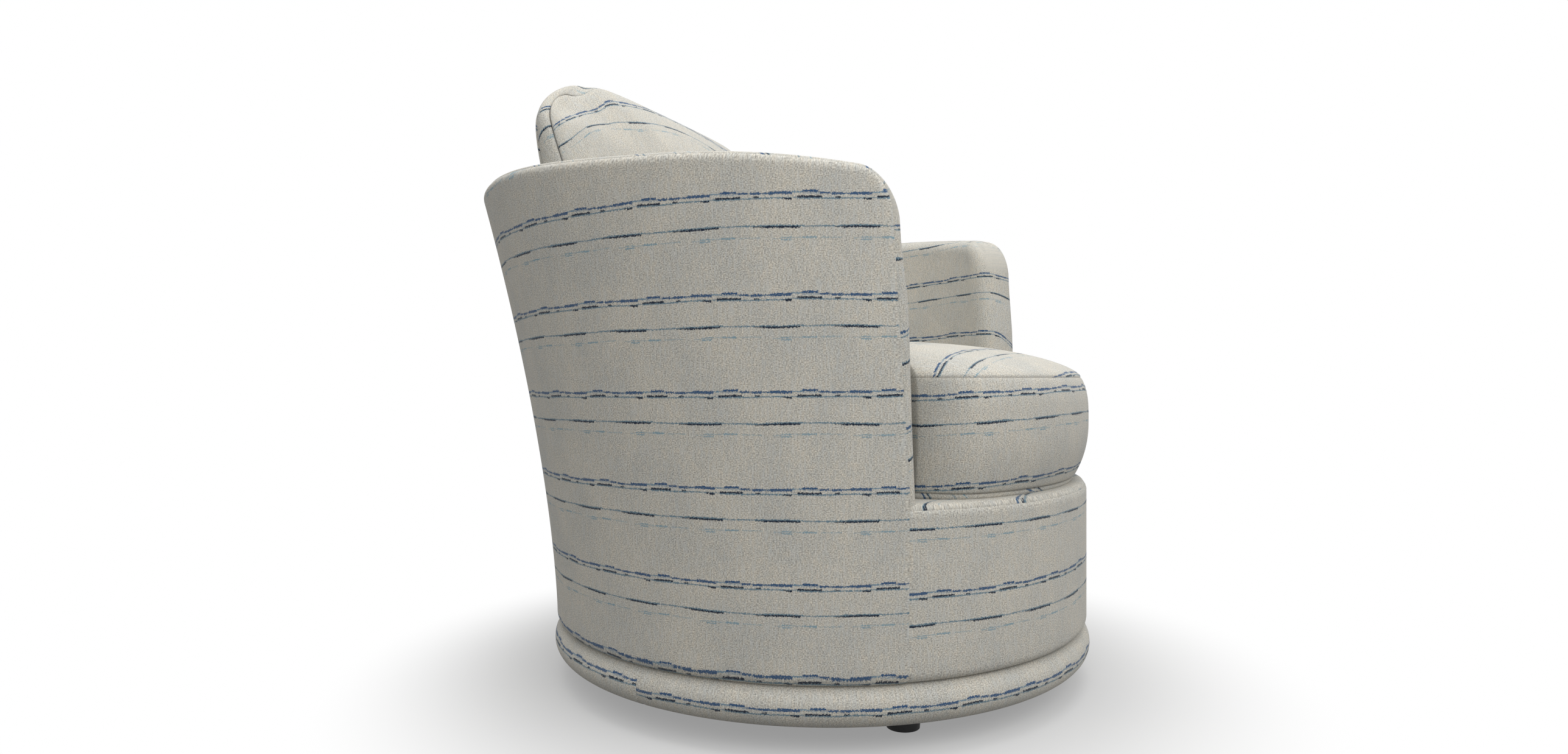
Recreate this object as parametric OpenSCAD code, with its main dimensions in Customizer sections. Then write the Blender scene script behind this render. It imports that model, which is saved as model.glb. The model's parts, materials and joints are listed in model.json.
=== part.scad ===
// Swivel barrel chair: a round upholstered shell on a ball-bearing swivel, with a boxed seat
// cushion and a loose back pillow. Millimetres, +Z up, front of the chair towards -Y, floor at
// z = 0. The origin is on the floor under the middle of the chair's outline, so the swivel axis
// stands a little in front of it.

/* [Shell] */
// Radius of the shell at its lower edge
body_r = 378; // [340:1:410]
// Height of the shell's lower edge above the floor
body_z = 84; // [84:1:100]
// Height of the rim's crown at the back
rim_z = 671; // [640:1:710]
// How far the back rim leans out past the lower edge
back_flare = 122; // [80:1:140]
// Thickness of the padded wall
wall = 62; // [58:1:74]
// Height of the roll along the rim
rim_crown = 10; // [6:1:24]
// Depth of the roll down the arm fronts
nose_crown = 19; // [8:1:24]
// How far the arm tops fall towards the front
arm_drop = 20; // [5:1:30]
// Radius of the top front corner of each arm
arm_corner_r = 54; // [40:1:90]
// How far each arm front leans back from the seat up to its top
arm_lean = 26; // [0:1:32]
// Angle from the back to the end of each arm, in degrees
arm_end_deg = 127.5; // [122:0.5:129]

/* [Covers and padding] */
// Thickness of the outside cover with its wadding
outer_cover = 8; // [5:1:10]
// Thickness of the inside padding
inner_pad = 20; // [14:1:22]
// Height of the front panel's top roll
front_top_z = 271; // [262:1:280]
// Depth of the front panel's top roll
front_roll = 56; // [40:1:58]
// Rounding of the front panel's top edge
front_round = 18; // [10:1:22]

/* [Plinth ring] */
// How far the padded ring stands out past the shell's lower edge
ring_proud = 7; // [2:1:16]
// Height of the ring's underside
ring_z = 31; // [24:1:34]
// Height of the ring's top
ring_top_z = 80; // [74:1:81]
// Thickness of the ring's cover
ring_cover_t = 3; // [2:0.5:5]
// Thickness of the bent plywood hoop
hoop_t = 12; // [9:1:15]

/* [Base and feet] */
// Thickness of the base board
base_board_t = 18; // [15:1:20]
// Height of each foot
foot_h = 49; // [45:1:52]
// Radius of each foot at its top
foot_r = 24; // [18:1:30]
// Radius of each foot where it meets the floor
foot_floor_r = 20; // [14:1:24]
// Distance between each foot and the hoop
foot_inset = 23; // [12:1:70]
// Angle of each foot from straight ahead or straight back, in degrees
foot_deg = 47.5; // [40:0.5:50]
// Radius of the foot screws
foot_screw_r = 4; // [3:0.5:5]

/* [Swivel bearing] */
// Side of the square bearing plates
plate_side = 240; // [220:2:280]
// Thickness of the plates
plate_t = 3; // [2.5:0.5:4]
// Distance between the two plates
plate_gap = 12; // [11.6:0.1:12.4]
// Radius of the ball circle
race_r = 85; // [70:1:90]
// Radius of one ball
ball_r = 5; // [4.8:0.1:5.2]
// Number of balls
ball_count = 24; // [12:1:30]
// Radius of the centre pin
pin_r = 6; // [5:0.5:8]
// Distance between neighbouring plate bolts
bolt_spacing = 200; // [180:2:210]
// Radius of the plate bolts
bolt_r = 3; // [2.5:0.5:4]

/* [Frame] */
// Thickness of the board under the seat
seat_board_t = 18; // [15:1:20]
// Thickness of one plywood rib
rib_t = 18; // [12:1:24]
// Height of the top rail's underside
top_rail_z = 596; // [580:1:604]
// Thickness of the top rail
top_rail_t = 20; // [15:1:24]
// Height of the spring rail's top
spring_rail_z = 254; // [246:1:256]
// Thickness of the spring rail
spring_rail_t = 24; // [18:1:30]
// Width of the spring rail
spring_rail_w = 40; // [30:1:44]
// Thickness of the curved front rail
front_rail_t = 14; // [10:1:18]

/* [Springs and deck] */
// Number of sinuous springs
spring_count = 6; // [4:1:7]
// Distance between neighbouring springs
spring_pitch = 80; // [70:1:82]
// Thickness of the spring wire
wire_t = 3.6; // [3:0.1:4.5]
// Width of one spring's bends
spring_w = 46; // [36:1:52]
// Length of one full bend
bend_len = 44; // [36:1:56]
// Thickness of the deck padding
deck_pad_t = 9; // [6:1:10]
// Thickness of the deck cloth
deck_cloth_t = 2; // [1:0.5:3]

/* [Seat cushion] */
// How far the cushion's front seam stands behind the front panel's face
cushion_set_back = 11; // [3:1:30]
// How far the front boxing bulges past its seams
cushion_bulge = 19; // [10:1:26]
// Half width of the cushion between the arm fronts
cushion_half_w = 241; // [225:1:243]
// Height of the boxing from seam to seam
boxing_h = 138; // [110:1:150]
// Rise of the crown above the top seam
cushion_crown = 53; // [25:1:60]
// Depth of the underside below the bottom seam
cushion_under = 8; // [4:1:12]
// Clearance between the cushion and the inside padding
cushion_gap = 4; // [3:1:8]

/* [Back pillow] */
// Half width of the pillow
pillow_half_w = 286; // [240:1:290]
// Half height of the pillow
pillow_half_h = 189; // [175:1:205]
// Half thickness at the middle
pillow_half_t = 80; // [60:1:84]
// Half width of the boxing around the pillow
pillow_edge = 26; // [15:1:30]
// Lean of the pillow from upright, in degrees
pillow_lean_deg = 8; // [5:1:14]
// How far its top flops back
pillow_flop = 8; // [0:1:20]
// Distance from the inside of the back, at its foot, to the middle of the pillow
pillow_inset = 67; // [60:1:76]

/* [Hidden] */

// Clearances
fit_gap = 0.3;
rib_clear = 2.2;
board_clear = 1;
running_gap = 0.05;
overrun = 1;

// Where the swivel axis stands: the outline runs from the cushion's front to the back rim
cushion_front_r = body_r - cushion_set_back;
front_reach = cushion_front_r + cushion_bulge;
back_reach = body_r + back_flare;
axis_y = (front_reach - back_reach) / 2;

// Shape of the flare: it fades from the back to the arms and grows with height
flare_end_deg = 140;
flare_power = 1.5;
drop_start_deg = 85;
roll_power = 4;

// Numbers of facets on the soft forms
rim_steps = 38;
corner_steps = 6;
nose_steps = 5;
roll_points = 12;
cushion_around = 72;
pillow_around = 44;
insert_around = 24;
round_fn = 96;

// Heights of the stack from the floor up
board_z = foot_h;
lower_plate_z = board_z + base_board_t;
race_z = lower_plate_z + plate_t + plate_gap / 2;
upper_plate_z = lower_plate_z + plate_t + plate_gap;
seat_board_z = upper_plate_z + plate_t;
frame_z = seat_board_z + seat_board_t;
spring_z = spring_rail_z;
tie_z = spring_z + wire_t;
tie_r = 1.5;
deck_z = tie_z + 2 * tie_r + fit_gap;
deck_cloth_z = deck_z + deck_pad_t;
deck_top_z = deck_cloth_z + deck_cloth_t;
cushion_z = deck_top_z + fit_gap;
bottom_seam_z = cushion_z + cushion_under;
top_seam_z = bottom_seam_z + boxing_h;
board_r = body_r - outer_cover - board_clear;
pillow_y = body_r - wall - pillow_inset;

// The shell's outer surface. Angle a runs from the back round to the arms, either way
function flare(a) = back_flare * pow(cos(90 * a / flare_end_deg), 2);
function rise(z) = pow(max(0, (z - body_z) / (rim_z - body_z)), flare_power);
function outer_r(a, z) = body_r + flare(a) * rise(z);
function inner_r(a, z) = outer_r(a, z) - wall;
arm_length = body_r * arm_end_deg * PI / 180;
function lean_share(z) =
    1 - arm_lean * max(0, z - front_top_z) / (rim_z - front_top_z) / arm_length;
function leaned(a, z) = a * lean_share(z);
function wall_r(a, z) = outer_r(a / lean_share(z), z);
function at(a, r, z) = [r * sin(a), r * cos(a), z];

// The wall's upper edge, where the roll begins: level at the back, falling along the arms,
// then round the top front corner
corner_deg = arm_corner_r / arm_length * arm_end_deg;
function drop(a) =
    arm_drop * pow(max(0, (abs(a) - drop_start_deg) / (arm_end_deg - drop_start_deg)), 2);
function level_edge_z(a) = rim_z - rim_crown - drop(a);
function corner_station(turn) =
    let (a = arm_end_deg - corner_deg * (1 - cos(turn)))
    [a, level_edge_z(a) - arm_corner_r * (1 - sin(turn)), turn];
corner_stations = [for (i = [0:corner_steps]) corner_station(90 * i / corner_steps)];
rim_start_deg = arm_end_deg - corner_deg;
rim_stations = [for (i = [1:rim_steps - 1])
    let (a = rim_start_deg * (1 - 2 * i / rim_steps)) [a, level_edge_z(a), 90]];
function mirrored(stations) =
    [for (i = [len(stations) - 1:-1:0]) [-stations[i][0], stations[i][1], 180 - stations[i][2]]];
// Each station is an angle from the back, a height, and the way the edge faces: 0 forwards at
// the left arm front, 90 up, 180 forwards at the other arm front
edge_stations = concat(corner_stations, rim_stations, mirrored(corner_stations));
nose_low_z = front_top_z + fit_gap;
nose_stations = [for (i = [0:nose_steps - 1])
    [arm_end_deg, nose_low_z + (corner_stations[0][1] - nose_low_z) * i / nose_steps, 0]];
roll_stations = concat(nose_stations, edge_stations, mirrored(nose_stations));

// A solid through a row of closed loops with as many points each, two sides to a loop. The
// covers' faces are split along the other diagonal, so that they lie flat against the roll's
module loft(loops, other_diagonal = false) {
    n = len(loops[0]);
    m = len(loops);
    sides = [for (i = [0:m - 2], j = [0:n - 1])
        let (a = i * n + j, b = i * n + (j + 1) % n)
        each other_diagonal ? [[a, b, a + n], [b, b + n, a + n]]
            : [[a, b, b + n], [a, b + n, a + n]]];
    near = [for (j = [0:n / 2 - 2]) each [[j, n - 1 - j, j + 1], [j + 1, n - 1 - j, n - 2 - j]]];
    far = [for (f = near) [f[0] + (m - 1) * n, f[2] + (m - 1) * n, f[1] + (m - 1) * n]];
    polyhedron([for (l = loops) each l], concat(sides, near, far));
}

// A closed solid from a low pole through rings that go round it to a high pole
module cushion_form(low, rings, high) {
    n = len(rings[0]);
    m = len(rings);
    last = (m - 1) * n + 1;
    sides = [for (i = [0:m - 2], j = [0:n - 1])
        let (a = 1 + i * n + j, b = 1 + i * n + (j + 1) % n)
        each [[a, b + n, b], [a, a + n, b + n]]];
    low_fan = [for (j = [0:n - 1]) [0, 1 + j, 1 + (j + 1) % n]];
    high_fan = [for (j = [0:n - 1]) [m * n + 1, last + (j + 1) % n, last + j]];
    polyhedron([low, for (r = rings) each r, high], concat(low_fan, sides, high_fan));
}

// Part of a round wall: its section is turned through an arc centred on the front
module front_arc(half_deg) {
    rotate([0, 0, -90 - half_deg])
        rotate_extrude(angle = 2 * half_deg, $fn = 2 * round_fn) children();
}

module ring_of(outer, inner, height) {
    difference() {
        cylinder(r = outer, h = height, $fn = 2 * round_fn);
        translate([0, 0, -overrun])
            cylinder(r = inner, h = height + 2 * overrun, $fn = 2 * round_fn);
    }
}

module at_axis() {
    translate([0, axis_y, 0]) children();
}

// Base and feet
foot_bore_r = foot_screw_r + fit_gap;
foot_recess_r = 9;
foot_recess_h = 14;
foot_head_r = 7.5;
foot_head_h = 5;
screw_cover = 4;
foot_degs = [90 - foot_deg, 90 + foot_deg, 270 - foot_deg, 270 + foot_deg];
hoop_z = ring_z + ring_cover_t;
hoop_outer_r = body_r - front_roll / 2 + hoop_t / 2;
hoop_inner_r = hoop_outer_r - hoop_t;
hoop_top_z = ring_top_z - ring_cover_t;
foot_place_r = hoop_inner_r - foot_inset - foot_r;

module at_feet() {
    at_axis() for (a = foot_degs) rotate([0, 0, a]) translate([foot_place_r, 0, 0]) children();
}

module glide_feet() {
    color("#17171a") at_feet() difference() {
        cylinder(r1 = foot_floor_r, r2 = foot_r, h = foot_h, $fn = round_fn);
        translate([0, 0, -overrun])
            cylinder(r = foot_recess_r, h = foot_recess_h + overrun, $fn = round_fn);
        cylinder(r = foot_bore_r, h = foot_h + overrun, $fn = round_fn);
    }
}

module foot_screws() {
    shank = foot_h + base_board_t - screw_cover - foot_recess_h;
    color("silver") at_feet() translate([0, 0, foot_recess_h - foot_head_h]) {
        cylinder(r = foot_head_r, h = foot_head_h, $fn = round_fn);
        translate([0, 0, foot_head_h]) cylinder(r = foot_screw_r, h = shank, $fn = round_fn);
    }
}

ring_r = body_r + ring_proud;
cambric_t = 1;
cambric_hole_r = foot_r + overrun;
access_r = 30;

module dust_cover() {
    color("#202022") difference() {
        at_axis() translate([0, 0, hoop_z - cambric_t - fit_gap])
            cylinder(r = hoop_inner_r - fit_gap, h = cambric_t, $fn = 2 * round_fn);
        at_feet() cylinder(r = cambric_hole_r, h = foot_h, $fn = round_fn);
    }
}

// Four holes in a square, for the bearing plates and the boards that they are bolted to
module plate_holes(z, height) {
    for (x = [-1, 1], y = [-1, 1])
        translate([x * bolt_spacing / 2, y * bolt_spacing / 2, z - overrun])
            cylinder(r = bolt_r + fit_gap, h = height + 2 * overrun, $fn = round_fn);
}

module base_board() {
    color("burlywood") at_axis() difference() {
        translate([0, 0, board_z])
            cylinder(r = hoop_inner_r - fit_gap, h = base_board_t, $fn = 2 * round_fn);
        translate([0, 0, board_z - overrun])
            cylinder(r = access_r, h = base_board_t + 2 * overrun, $fn = round_fn);
        plate_holes(board_z, base_board_t);
        for (a = foot_degs) rotate([0, 0, a]) translate([foot_place_r, 0, board_z - overrun])
            cylinder(r = foot_bore_r, h = base_board_t - screw_cover + 2 * overrun, $fn = round_fn);
    }
}

module base_hoop() {
    color("burlywood") at_axis() translate([0, 0, hoop_z])
        ring_of(hoop_outer_r, hoop_inner_r, hoop_top_z - hoop_z);
}

// The ring's section: a padded roll on the outside of the hoop, drawn in at its foot and shoulder
ring_power = 2.1;
ring_points = 18;
function ring_section(inset) =
    let (mid = (ring_z + ring_top_z) / 2, half = (ring_top_z - ring_z) / 2 - inset,
        reach = ring_r - hoop_outer_r - inset)
    [for (i = [0:ring_points]) let (b = -90 + 180 * i / ring_points)
        [hoop_outer_r + reach * pow(cos(b), 2 / ring_power),
            mid + half * sign(b) * pow(abs(sin(b)), 2 / ring_power)]];

module ring_pad() {
    color("#e8dca0") at_axis() rotate_extrude($fn = 2 * round_fn)
        polygon([for (p = ring_section(ring_cover_t)) [p[0] + fit_gap, p[1]]]);
}

// The cover goes round the pad and over the hoop's top and foot, to its inner face
module ring_cover() {
    color("#b9b6ab") at_axis() rotate_extrude($fn = 2 * round_fn) polygon(concat(
        [[hoop_inner_r, ring_z]], ring_section(0), [[hoop_inner_r, ring_top_z]],
        [[hoop_inner_r, hoop_top_z + fit_gap]],
        [for (i = [ring_points:-1:0]) let (p = ring_section(ring_cover_t - 2 * fit_gap)[i])
            [p[0] + fit_gap, p[1]]],
        [[hoop_inner_r, hoop_z - fit_gap]]));
}

// Swivel bearing: two square plates with facing ball tracks, joined by a centre pin
race_w = 20;
race_gap = 4;
race_clear = 0.3;
race_h = (plate_gap - race_gap) / 2;
cage_t = 1.4;
head_r = 6;
head_h = 3;
nut_r = 7;
nut_h = 5;
pin_boss_r = 12;
pin_flange_h = 3;
corner_r = 12;

module square_plate(z) {
    half = plate_side / 2;
    translate([0, 0, z]) linear_extrude(plate_t) union() {
        square([plate_side, plate_side - 2 * corner_r], center = true);
        square([plate_side - 2 * corner_r, plate_side], center = true);
        for (x = [-1, 1], y = [-1, 1]) translate([x * (half - corner_r), y * (half - corner_r)])
            circle(r = corner_r, $fn = round_fn);
    }
}

module ball_track() {
    translate([0, 0, race_z]) rotate_extrude($fn = 2 * round_fn) translate([race_r, 0])
        circle(r = ball_r + race_clear, $fn = round_fn);
}

module lower_swivel_plate() {
    color("silver") at_axis() difference() {
        union() {
            square_plate(lower_plate_z);
            translate([0, 0, lower_plate_z])
                ring_of(race_r + race_w / 2, race_r - race_w / 2, plate_t + race_h);
            translate([0, 0, lower_plate_z])
                cylinder(r = pin_boss_r, h = plate_t + race_h, $fn = round_fn);
        }
        ball_track();
        plate_holes(lower_plate_z, plate_t);
        translate([0, 0, lower_plate_z - overrun])
            cylinder(r = pin_r + running_gap, h = plate_t + race_h + 2 * overrun, $fn = round_fn);
    }
}

module upper_swivel_plate() {
    color("silver") at_axis() difference() {
        union() {
            square_plate(upper_plate_z);
            translate([0, 0, upper_plate_z - race_h])
                ring_of(race_r + race_w / 2, race_r - race_w / 2, race_h + plate_t);
        }
        ball_track();
        plate_holes(upper_plate_z, plate_t);
        translate([0, 0, upper_plate_z - overrun])
            cylinder(r = pin_r, h = plate_t + 2 * overrun, $fn = round_fn);
    }
}

module at_balls() {
    for (i = [0:ball_count - 1])
        rotate([0, 0, 360 * i / ball_count]) translate([race_r, 0, 0]) children();
}

module bearing_balls() {
    color("gainsboro") at_axis() at_balls() translate([0, 0, race_z])
        sphere(r = ball_r, $fn = round_fn);
}

module ball_cage() {
    color("goldenrod") at_axis() translate([0, 0, race_z - cage_t / 2]) difference() {
        ring_of(race_r + race_w / 2, race_r - race_w / 2, cage_t);
        at_balls() translate([0, 0, -overrun])
            cylinder(r = ball_r + race_clear, h = cage_t + 2 * overrun, $fn = round_fn);
    }
}

// A plate bolt with a low head at z = 0, its shank up, and a nut past the board
module plate_bolt(grip) {
    cylinder(r = head_r, h = head_h, $fn = round_fn);
    translate([0, 0, head_h]) cylinder(r = bolt_r, h = grip + nut_h, $fn = round_fn);
    translate([0, 0, head_h + grip]) cylinder(r = nut_r, h = nut_h, $fn = 6);
}

module at_plate_bolts() {
    at_axis() for (x = [-1, 1], y = [-1, 1])
        translate([x * bolt_spacing / 2, y * bolt_spacing / 2, 0]) children();
}

module lower_plate_bolts() {
    color("dimgray") at_plate_bolts() translate([0, 0, lower_plate_z + plate_t + head_h])
        rotate([180, 0, 0]) plate_bolt(plate_t + base_board_t);
}

module upper_plate_bolts() {
    color("dimgray") at_plate_bolts() translate([0, 0, upper_plate_z - head_h])
        plate_bolt(plate_t + seat_board_t);
}

module centre_pin() {
    low = lower_plate_z - nut_h - overrun;
    color("gray") at_axis() {
        translate([0, 0, low]) cylinder(r = pin_r, h = upper_plate_z + plate_t - low, $fn = round_fn);
        translate([0, 0, upper_plate_z - pin_flange_h])
            cylinder(r = pin_boss_r, h = pin_flange_h, $fn = round_fn);
    }
}

module centre_pin_nut() {
    color("dimgray") at_axis() translate([0, 0, lower_plate_z - nut_h - fit_gap]) difference() {
        cylinder(r = pin_boss_r, h = nut_h, $fn = 6);
        translate([0, 0, -overrun]) cylinder(r = pin_r, h = nut_h + 2 * overrun, $fn = round_fn);
    }
}

// Frame
rib_degs = [-104, -78, -52, -26, 0, 26, 52, 78, 104];
post_deg = 119;
post_w = 46;
post_t = 18;
rib_levels = 10;
seat_post_degs = [-22, 22, 66, 114, 158, 202, 246, 294];
seat_post_w = 40;
seat_post_t = 26;

module seat_base_board() {
    color("burlywood") at_axis() difference() {
        translate([0, 0, seat_board_z]) cylinder(r = board_r, h = seat_board_t, $fn = 2 * round_fn);
        translate([0, 0, seat_board_z - overrun])
            cylinder(r = access_r, h = seat_board_t + 2 * overrun, $fn = round_fn);
        plate_holes(seat_board_z, seat_board_t);
    }
}

// One rib follows the hollow between the inside padding and the outside cover
function rib_side(a, inset, low, high) = [for (i = [0:rib_levels])
    let (z = low + (high - low) * i / rib_levels) [wall_r(a, z) - inset, z]];

module rib(a) {
    outside = rib_side(a, outer_cover + rib_clear, frame_z, top_rail_z);
    inside = rib_side(a, wall - inner_pad - rib_clear, frame_z, top_rail_z);
    rotate([0, 0, -a]) translate([rib_t / 2, 0, 0]) rotate([90, 0, -90]) mirror([1, 0, 0])
        linear_extrude(rib_t) polygon(concat(outside, [for (i = [rib_levels:-1:0]) inside[i]]));
}

module back_ribs() {
    color("burlywood") at_axis() for (a = rib_degs) rib(a);
}

module arm_posts() {
    inside = body_r - wall + inner_pad;
    high = corner_stations[0][1];
    slope = flare(post_deg);
    color("tan") at_axis() for (side = [-1, 1]) rotate([0, 0, side * post_deg])
        translate([-post_w / 2, inside + slope + 2 * fit_gap, frame_z])
            cube([post_w, post_t, high - frame_z]);
}

module seat_posts() {
    color("tan") at_axis() for (a = seat_post_degs) rotate([0, 0, a])
        translate([-seat_post_w / 2, -spring_rail_r + post_inset, frame_z])
            cube([seat_post_w, seat_post_t, spring_rail_z - spring_rail_t - frame_z]);
}

spring_rail_r = body_r - wall + inner_pad - fit_gap;
post_inset = 6;

module spring_rail() {
    color("burlywood") at_axis() translate([0, 0, spring_rail_z - spring_rail_t])
        ring_of(spring_rail_r, spring_rail_r - spring_rail_w, spring_rail_t);
}

front_half_deg = 180 - arm_end_deg;
front_post_margin_deg = 1.5;

module front_rail() {
    inner = board_r - front_rail_t;
    color("burlywood") at_axis() front_arc(front_half_deg - front_post_margin_deg)
        translate([inner, frame_z]) square([front_rail_t, front_top_z - front_round - frame_z]);
}

top_rail_deg = 108;
top_rail_points = 36;

module top_rail() {
    function side(inset) = [for (i = [0:top_rail_points])
        let (a = top_rail_deg * (2 * i / top_rail_points - 1), r = wall_r(a, top_rail_z) - inset)
        [r * sin(a), r * cos(a)]];
    outside = side(outer_cover + rib_clear);
    inside = side(wall - inner_pad - top_rail_lean - rib_clear);
    color("burlywood") at_axis() translate([0, 0, top_rail_z]) linear_extrude(top_rail_t)
        polygon(concat(outside, [for (i = [top_rail_points:-1:0]) inside[i]]));
}

// The hollow moves outwards over the rail's own height, so its inner edge keeps that much back
top_rail_lean = back_flare * (rise(top_rail_z + top_rail_t) - rise(top_rail_z));

// Springs and deck
bend_steps = 6;
deck_r = body_r - wall - fit_gap;
clip_l = 20;
clip_w = 14;
clip_wall = 2;

function spring_x(i) = (i - (spring_count - 1) / 2) * spring_pitch;
function spring_half(i) =
    sqrt(pow(spring_rail_r - spring_rail_w / 2, 2) - pow(spring_x(i), 2));
function zigzag(y, half) =
    (spring_w - wire_t) / 2 * sin(360 * y / bend_len) * min(1, (half - abs(y)) / (bend_len / 2));

// One spring is a flat wire bent to and fro along its run, straight where its clips hold it
module spring(half) {
    run = half - clip_l / 2;
    count = round(2 * run / bend_len * bend_steps);
    line = [for (i = [0:count]) let (y = run * (2 * i / count - 1)) [zigzag(y, run), y]];
    function normal(i) =
        let (d = line[min(count, i + 1)] - line[max(0, i - 1)]) [-d[1], d[0]] / norm(d);
    linear_extrude(wire_t) polygon(concat(
        [for (i = [0:count]) line[i] + wire_t / 2 * normal(i)],
        [for (i = [count:-1:0]) line[i] - wire_t / 2 * normal(i)]));
    for (y = [-1, 1]) translate([-wire_t / 2, y * (run + clip_l / 4) - clip_l / 4, 0])
        cube([wire_t, clip_l / 2, wire_t]);
}

module sinuous_springs() {
    color("dimgray") at_axis() for (i = [0:spring_count - 1])
        translate([spring_x(i), 0, spring_z]) spring(spring_half(i));
}

// A clip folds over the end of a spring's wire, which lies in its groove
module spring_clip() {
    groove_l = clip_l / 2 - clip_wall + fit_gap;
    groove_h = wire_t + fit_gap;
    translate([-clip_w / 2, -clip_l / 2, 0]) difference() {
        cube([clip_w, clip_l / 2 + clip_wall, groove_h + clip_wall]);
        translate([(clip_w - wire_t) / 2 - fit_gap, -overrun, -overrun])
            cube([wire_t + 2 * fit_gap, groove_l + overrun, groove_h + overrun]);
    }
}

module spring_clips() {
    color("silver") at_axis() for (i = [0:spring_count - 1], side = [-1, 1])
        translate([spring_x(i), side * (spring_half(i) + clip_wall), spring_z])
            mirror([0, side < 0 ? 1 : 0, 0]) spring_clip();
}

tie_place_shares = [-0.4, 0, 0.4];

module tie_wires() {
    half = spring_x(spring_count - 1) + spring_w / 2;
    color("saddlebrown") at_axis() for (s = tie_place_shares)
        translate([-half, s * spring_rail_r, tie_z + tie_r + fit_gap / 2]) rotate([0, 90, 0])
            cylinder(r = tie_r, h = 2 * half, $fn = round_fn);
}

module deck_pad() {
    color("#d9d2c0") at_axis() translate([0, 0, deck_z + fit_gap])
        cylinder(r = deck_r, h = deck_pad_t - fit_gap, $fn = 2 * round_fn);
}

module deck_cloth() {
    color("#a9a598") at_axis() translate([0, 0, deck_cloth_z])
        cylinder(r = deck_r, h = deck_cloth_t, $fn = 2 * round_fn);
}

// Shell covers
outer_row_shares = [0.03, 0.14, 0.28, 0.42, 0.56, 0.7, 0.85, 1];
inner_row_shares = [0, 0.16, 0.33, 0.5, 0.67, 0.84, 1];
under_round = 6;
inner_low_z = spring_rail_z + fit_gap;

function wall_point(a, r_in, z) = at(leaned(a, z), outer_r(a, z) - r_in, z);

// A curtain of the wall between two depths, from a low edge up to the rim's edge. A foot of the
// cover's own rounding is drawn in under it
function curtain_loop(station, outside, inside, low, shares, tuck) =
    let (a = station[0], high = station[1],
        foot = tuck > 0 ? [tuck] : [],
        zs = [for (s = shares) low + s * (high - low)])
    concat([for (f = foot) wall_point(a, outside + f, low)],
        [for (z = zs) wall_point(a, outside, z)],
        [for (i = [len(zs) - 1:-1:0]) wall_point(a, inside, zs[i])],
        [for (f = foot) wall_point(a, inside, low)]);

module outer_cover_panel() {
    color("#b9b6ab") at_axis()
        loft([for (s = edge_stations)
            curtain_loop(s, 0, outer_cover, body_z, outer_row_shares, under_round)], true);
}

module inner_padded_panel() {
    color("#b4b1a6") at_axis() loft([for (s = edge_stations)
        curtain_loop(s, wall - inner_pad, wall, inner_low_z, inner_row_shares, 0)], true);
}

// The roll's section stands just off the wall's edge: across the wall, then away from it
function roll_section(crown) = [for (i = [0:roll_points - 1])
    let (b = 180 * i / (roll_points - 1), c = cos(b), s = sin(b))
    [wall / 2 * sign(c) * pow(abs(c), 2 / roll_power),
        fit_gap + (crown - fit_gap) * pow(abs(s), 2 / roll_power)]];

function roll_loop(station) =
    let (z = station[1], turn = station[2], up = sin(turn), a = leaned(station[0], z),
        out = [sin(a), cos(a), 0], along = [cos(a), -sin(a), 0])
    [for (p = roll_section(nose_crown + (rim_crown - nose_crown) * up))
        let (r = outer_r(station[0], z + p[1] * up) - wall / 2)
        at(a, r, z) + p[0] * out + p[1] * (cos(turn) * along + up * [0, 0, 1])];

module rim_roll() {
    color("#b9b6ab") at_axis() loft([for (s = roll_stations) roll_loop(s)]);
}

front_round_points = 6;

// The front panel's section: up its face, over the round top edge and back to the deck
function front_panel_section() =
    let (low = body_z, top = front_top_z, face = body_r, r = front_round, t = outer_cover,
        corner = [for (i = [0:front_round_points])
            let (b = 90 * i / front_round_points) [cos(b), sin(b)]])
    concat([[face - t, low], [face - under_round, low], [face, low + under_round]],
        [for (c = corner) [face - r + r * c[0], top - r + r * c[1]]],
        [[face - front_roll, top], [face - front_roll, top - t]],
        [for (i = [front_round_points:-1:0]) let (c = corner[i])
            [face - r + (r - t) * c[0], top - r + (r - t) * c[1]]]);

module front_panel() {
    seam_gap_deg = 2 * fit_gap / body_r * 180 / PI;
    color("#b9b6ab") at_axis() front_arc(front_half_deg - seam_gap_deg)
        polygon(front_panel_section());
}

// Seat cushion. Angle t runs from the front
corner_power = 26;
bulge_end_deg = 48;
bulge_power = 0.35;
least_sine = 0.01;
boxing_bulge_shares = [0.6, 1, 0.75];
boxing_height_shares = [0.2, 0.55, 0.86];
under_shares = [0.55, 0.93];
under_rise_shares = [0, 0.2];
crown_shares = [0.985, 0.94, 0.85, 0.68, 0.38];
crown_power = 0.5;
crown_fall = 3;
core_r = 250;
core_margin = 22;

function wrapped(t) = t > 180 ? t - 360 : t;
function side_r(t) = inner_r(180 - abs(t), bottom_seam_z) - cushion_gap;
function straight_r(t) =
    abs(t) < 90 ? max(cushion_half_w / max(sin(abs(t)), least_sine), side_r(t)) : side_r(t);
function seam_r(t) =
    pow(pow(cushion_front_r, -corner_power) + pow(straight_r(t), -corner_power), -1 / corner_power);
function bulge(t) =
    cushion_bulge * pow(max(0, cos(90 * min(1, abs(t) / bulge_end_deg))), bulge_power);
function crown_z(share) =
    top_seam_z + cushion_crown * pow(1 - pow(share, crown_fall), crown_power);
function cushion_point(t, share, extra, z) =
    let (r = seam_r(t) * share + bulge(t) * extra) [r * sin(t), -r * cos(t), z];
function cushion_ring(share, extra, z) = [for (i = [0:cushion_around - 1])
    cushion_point(wrapped(360 * i / cushion_around), share, extra, z)];

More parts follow.
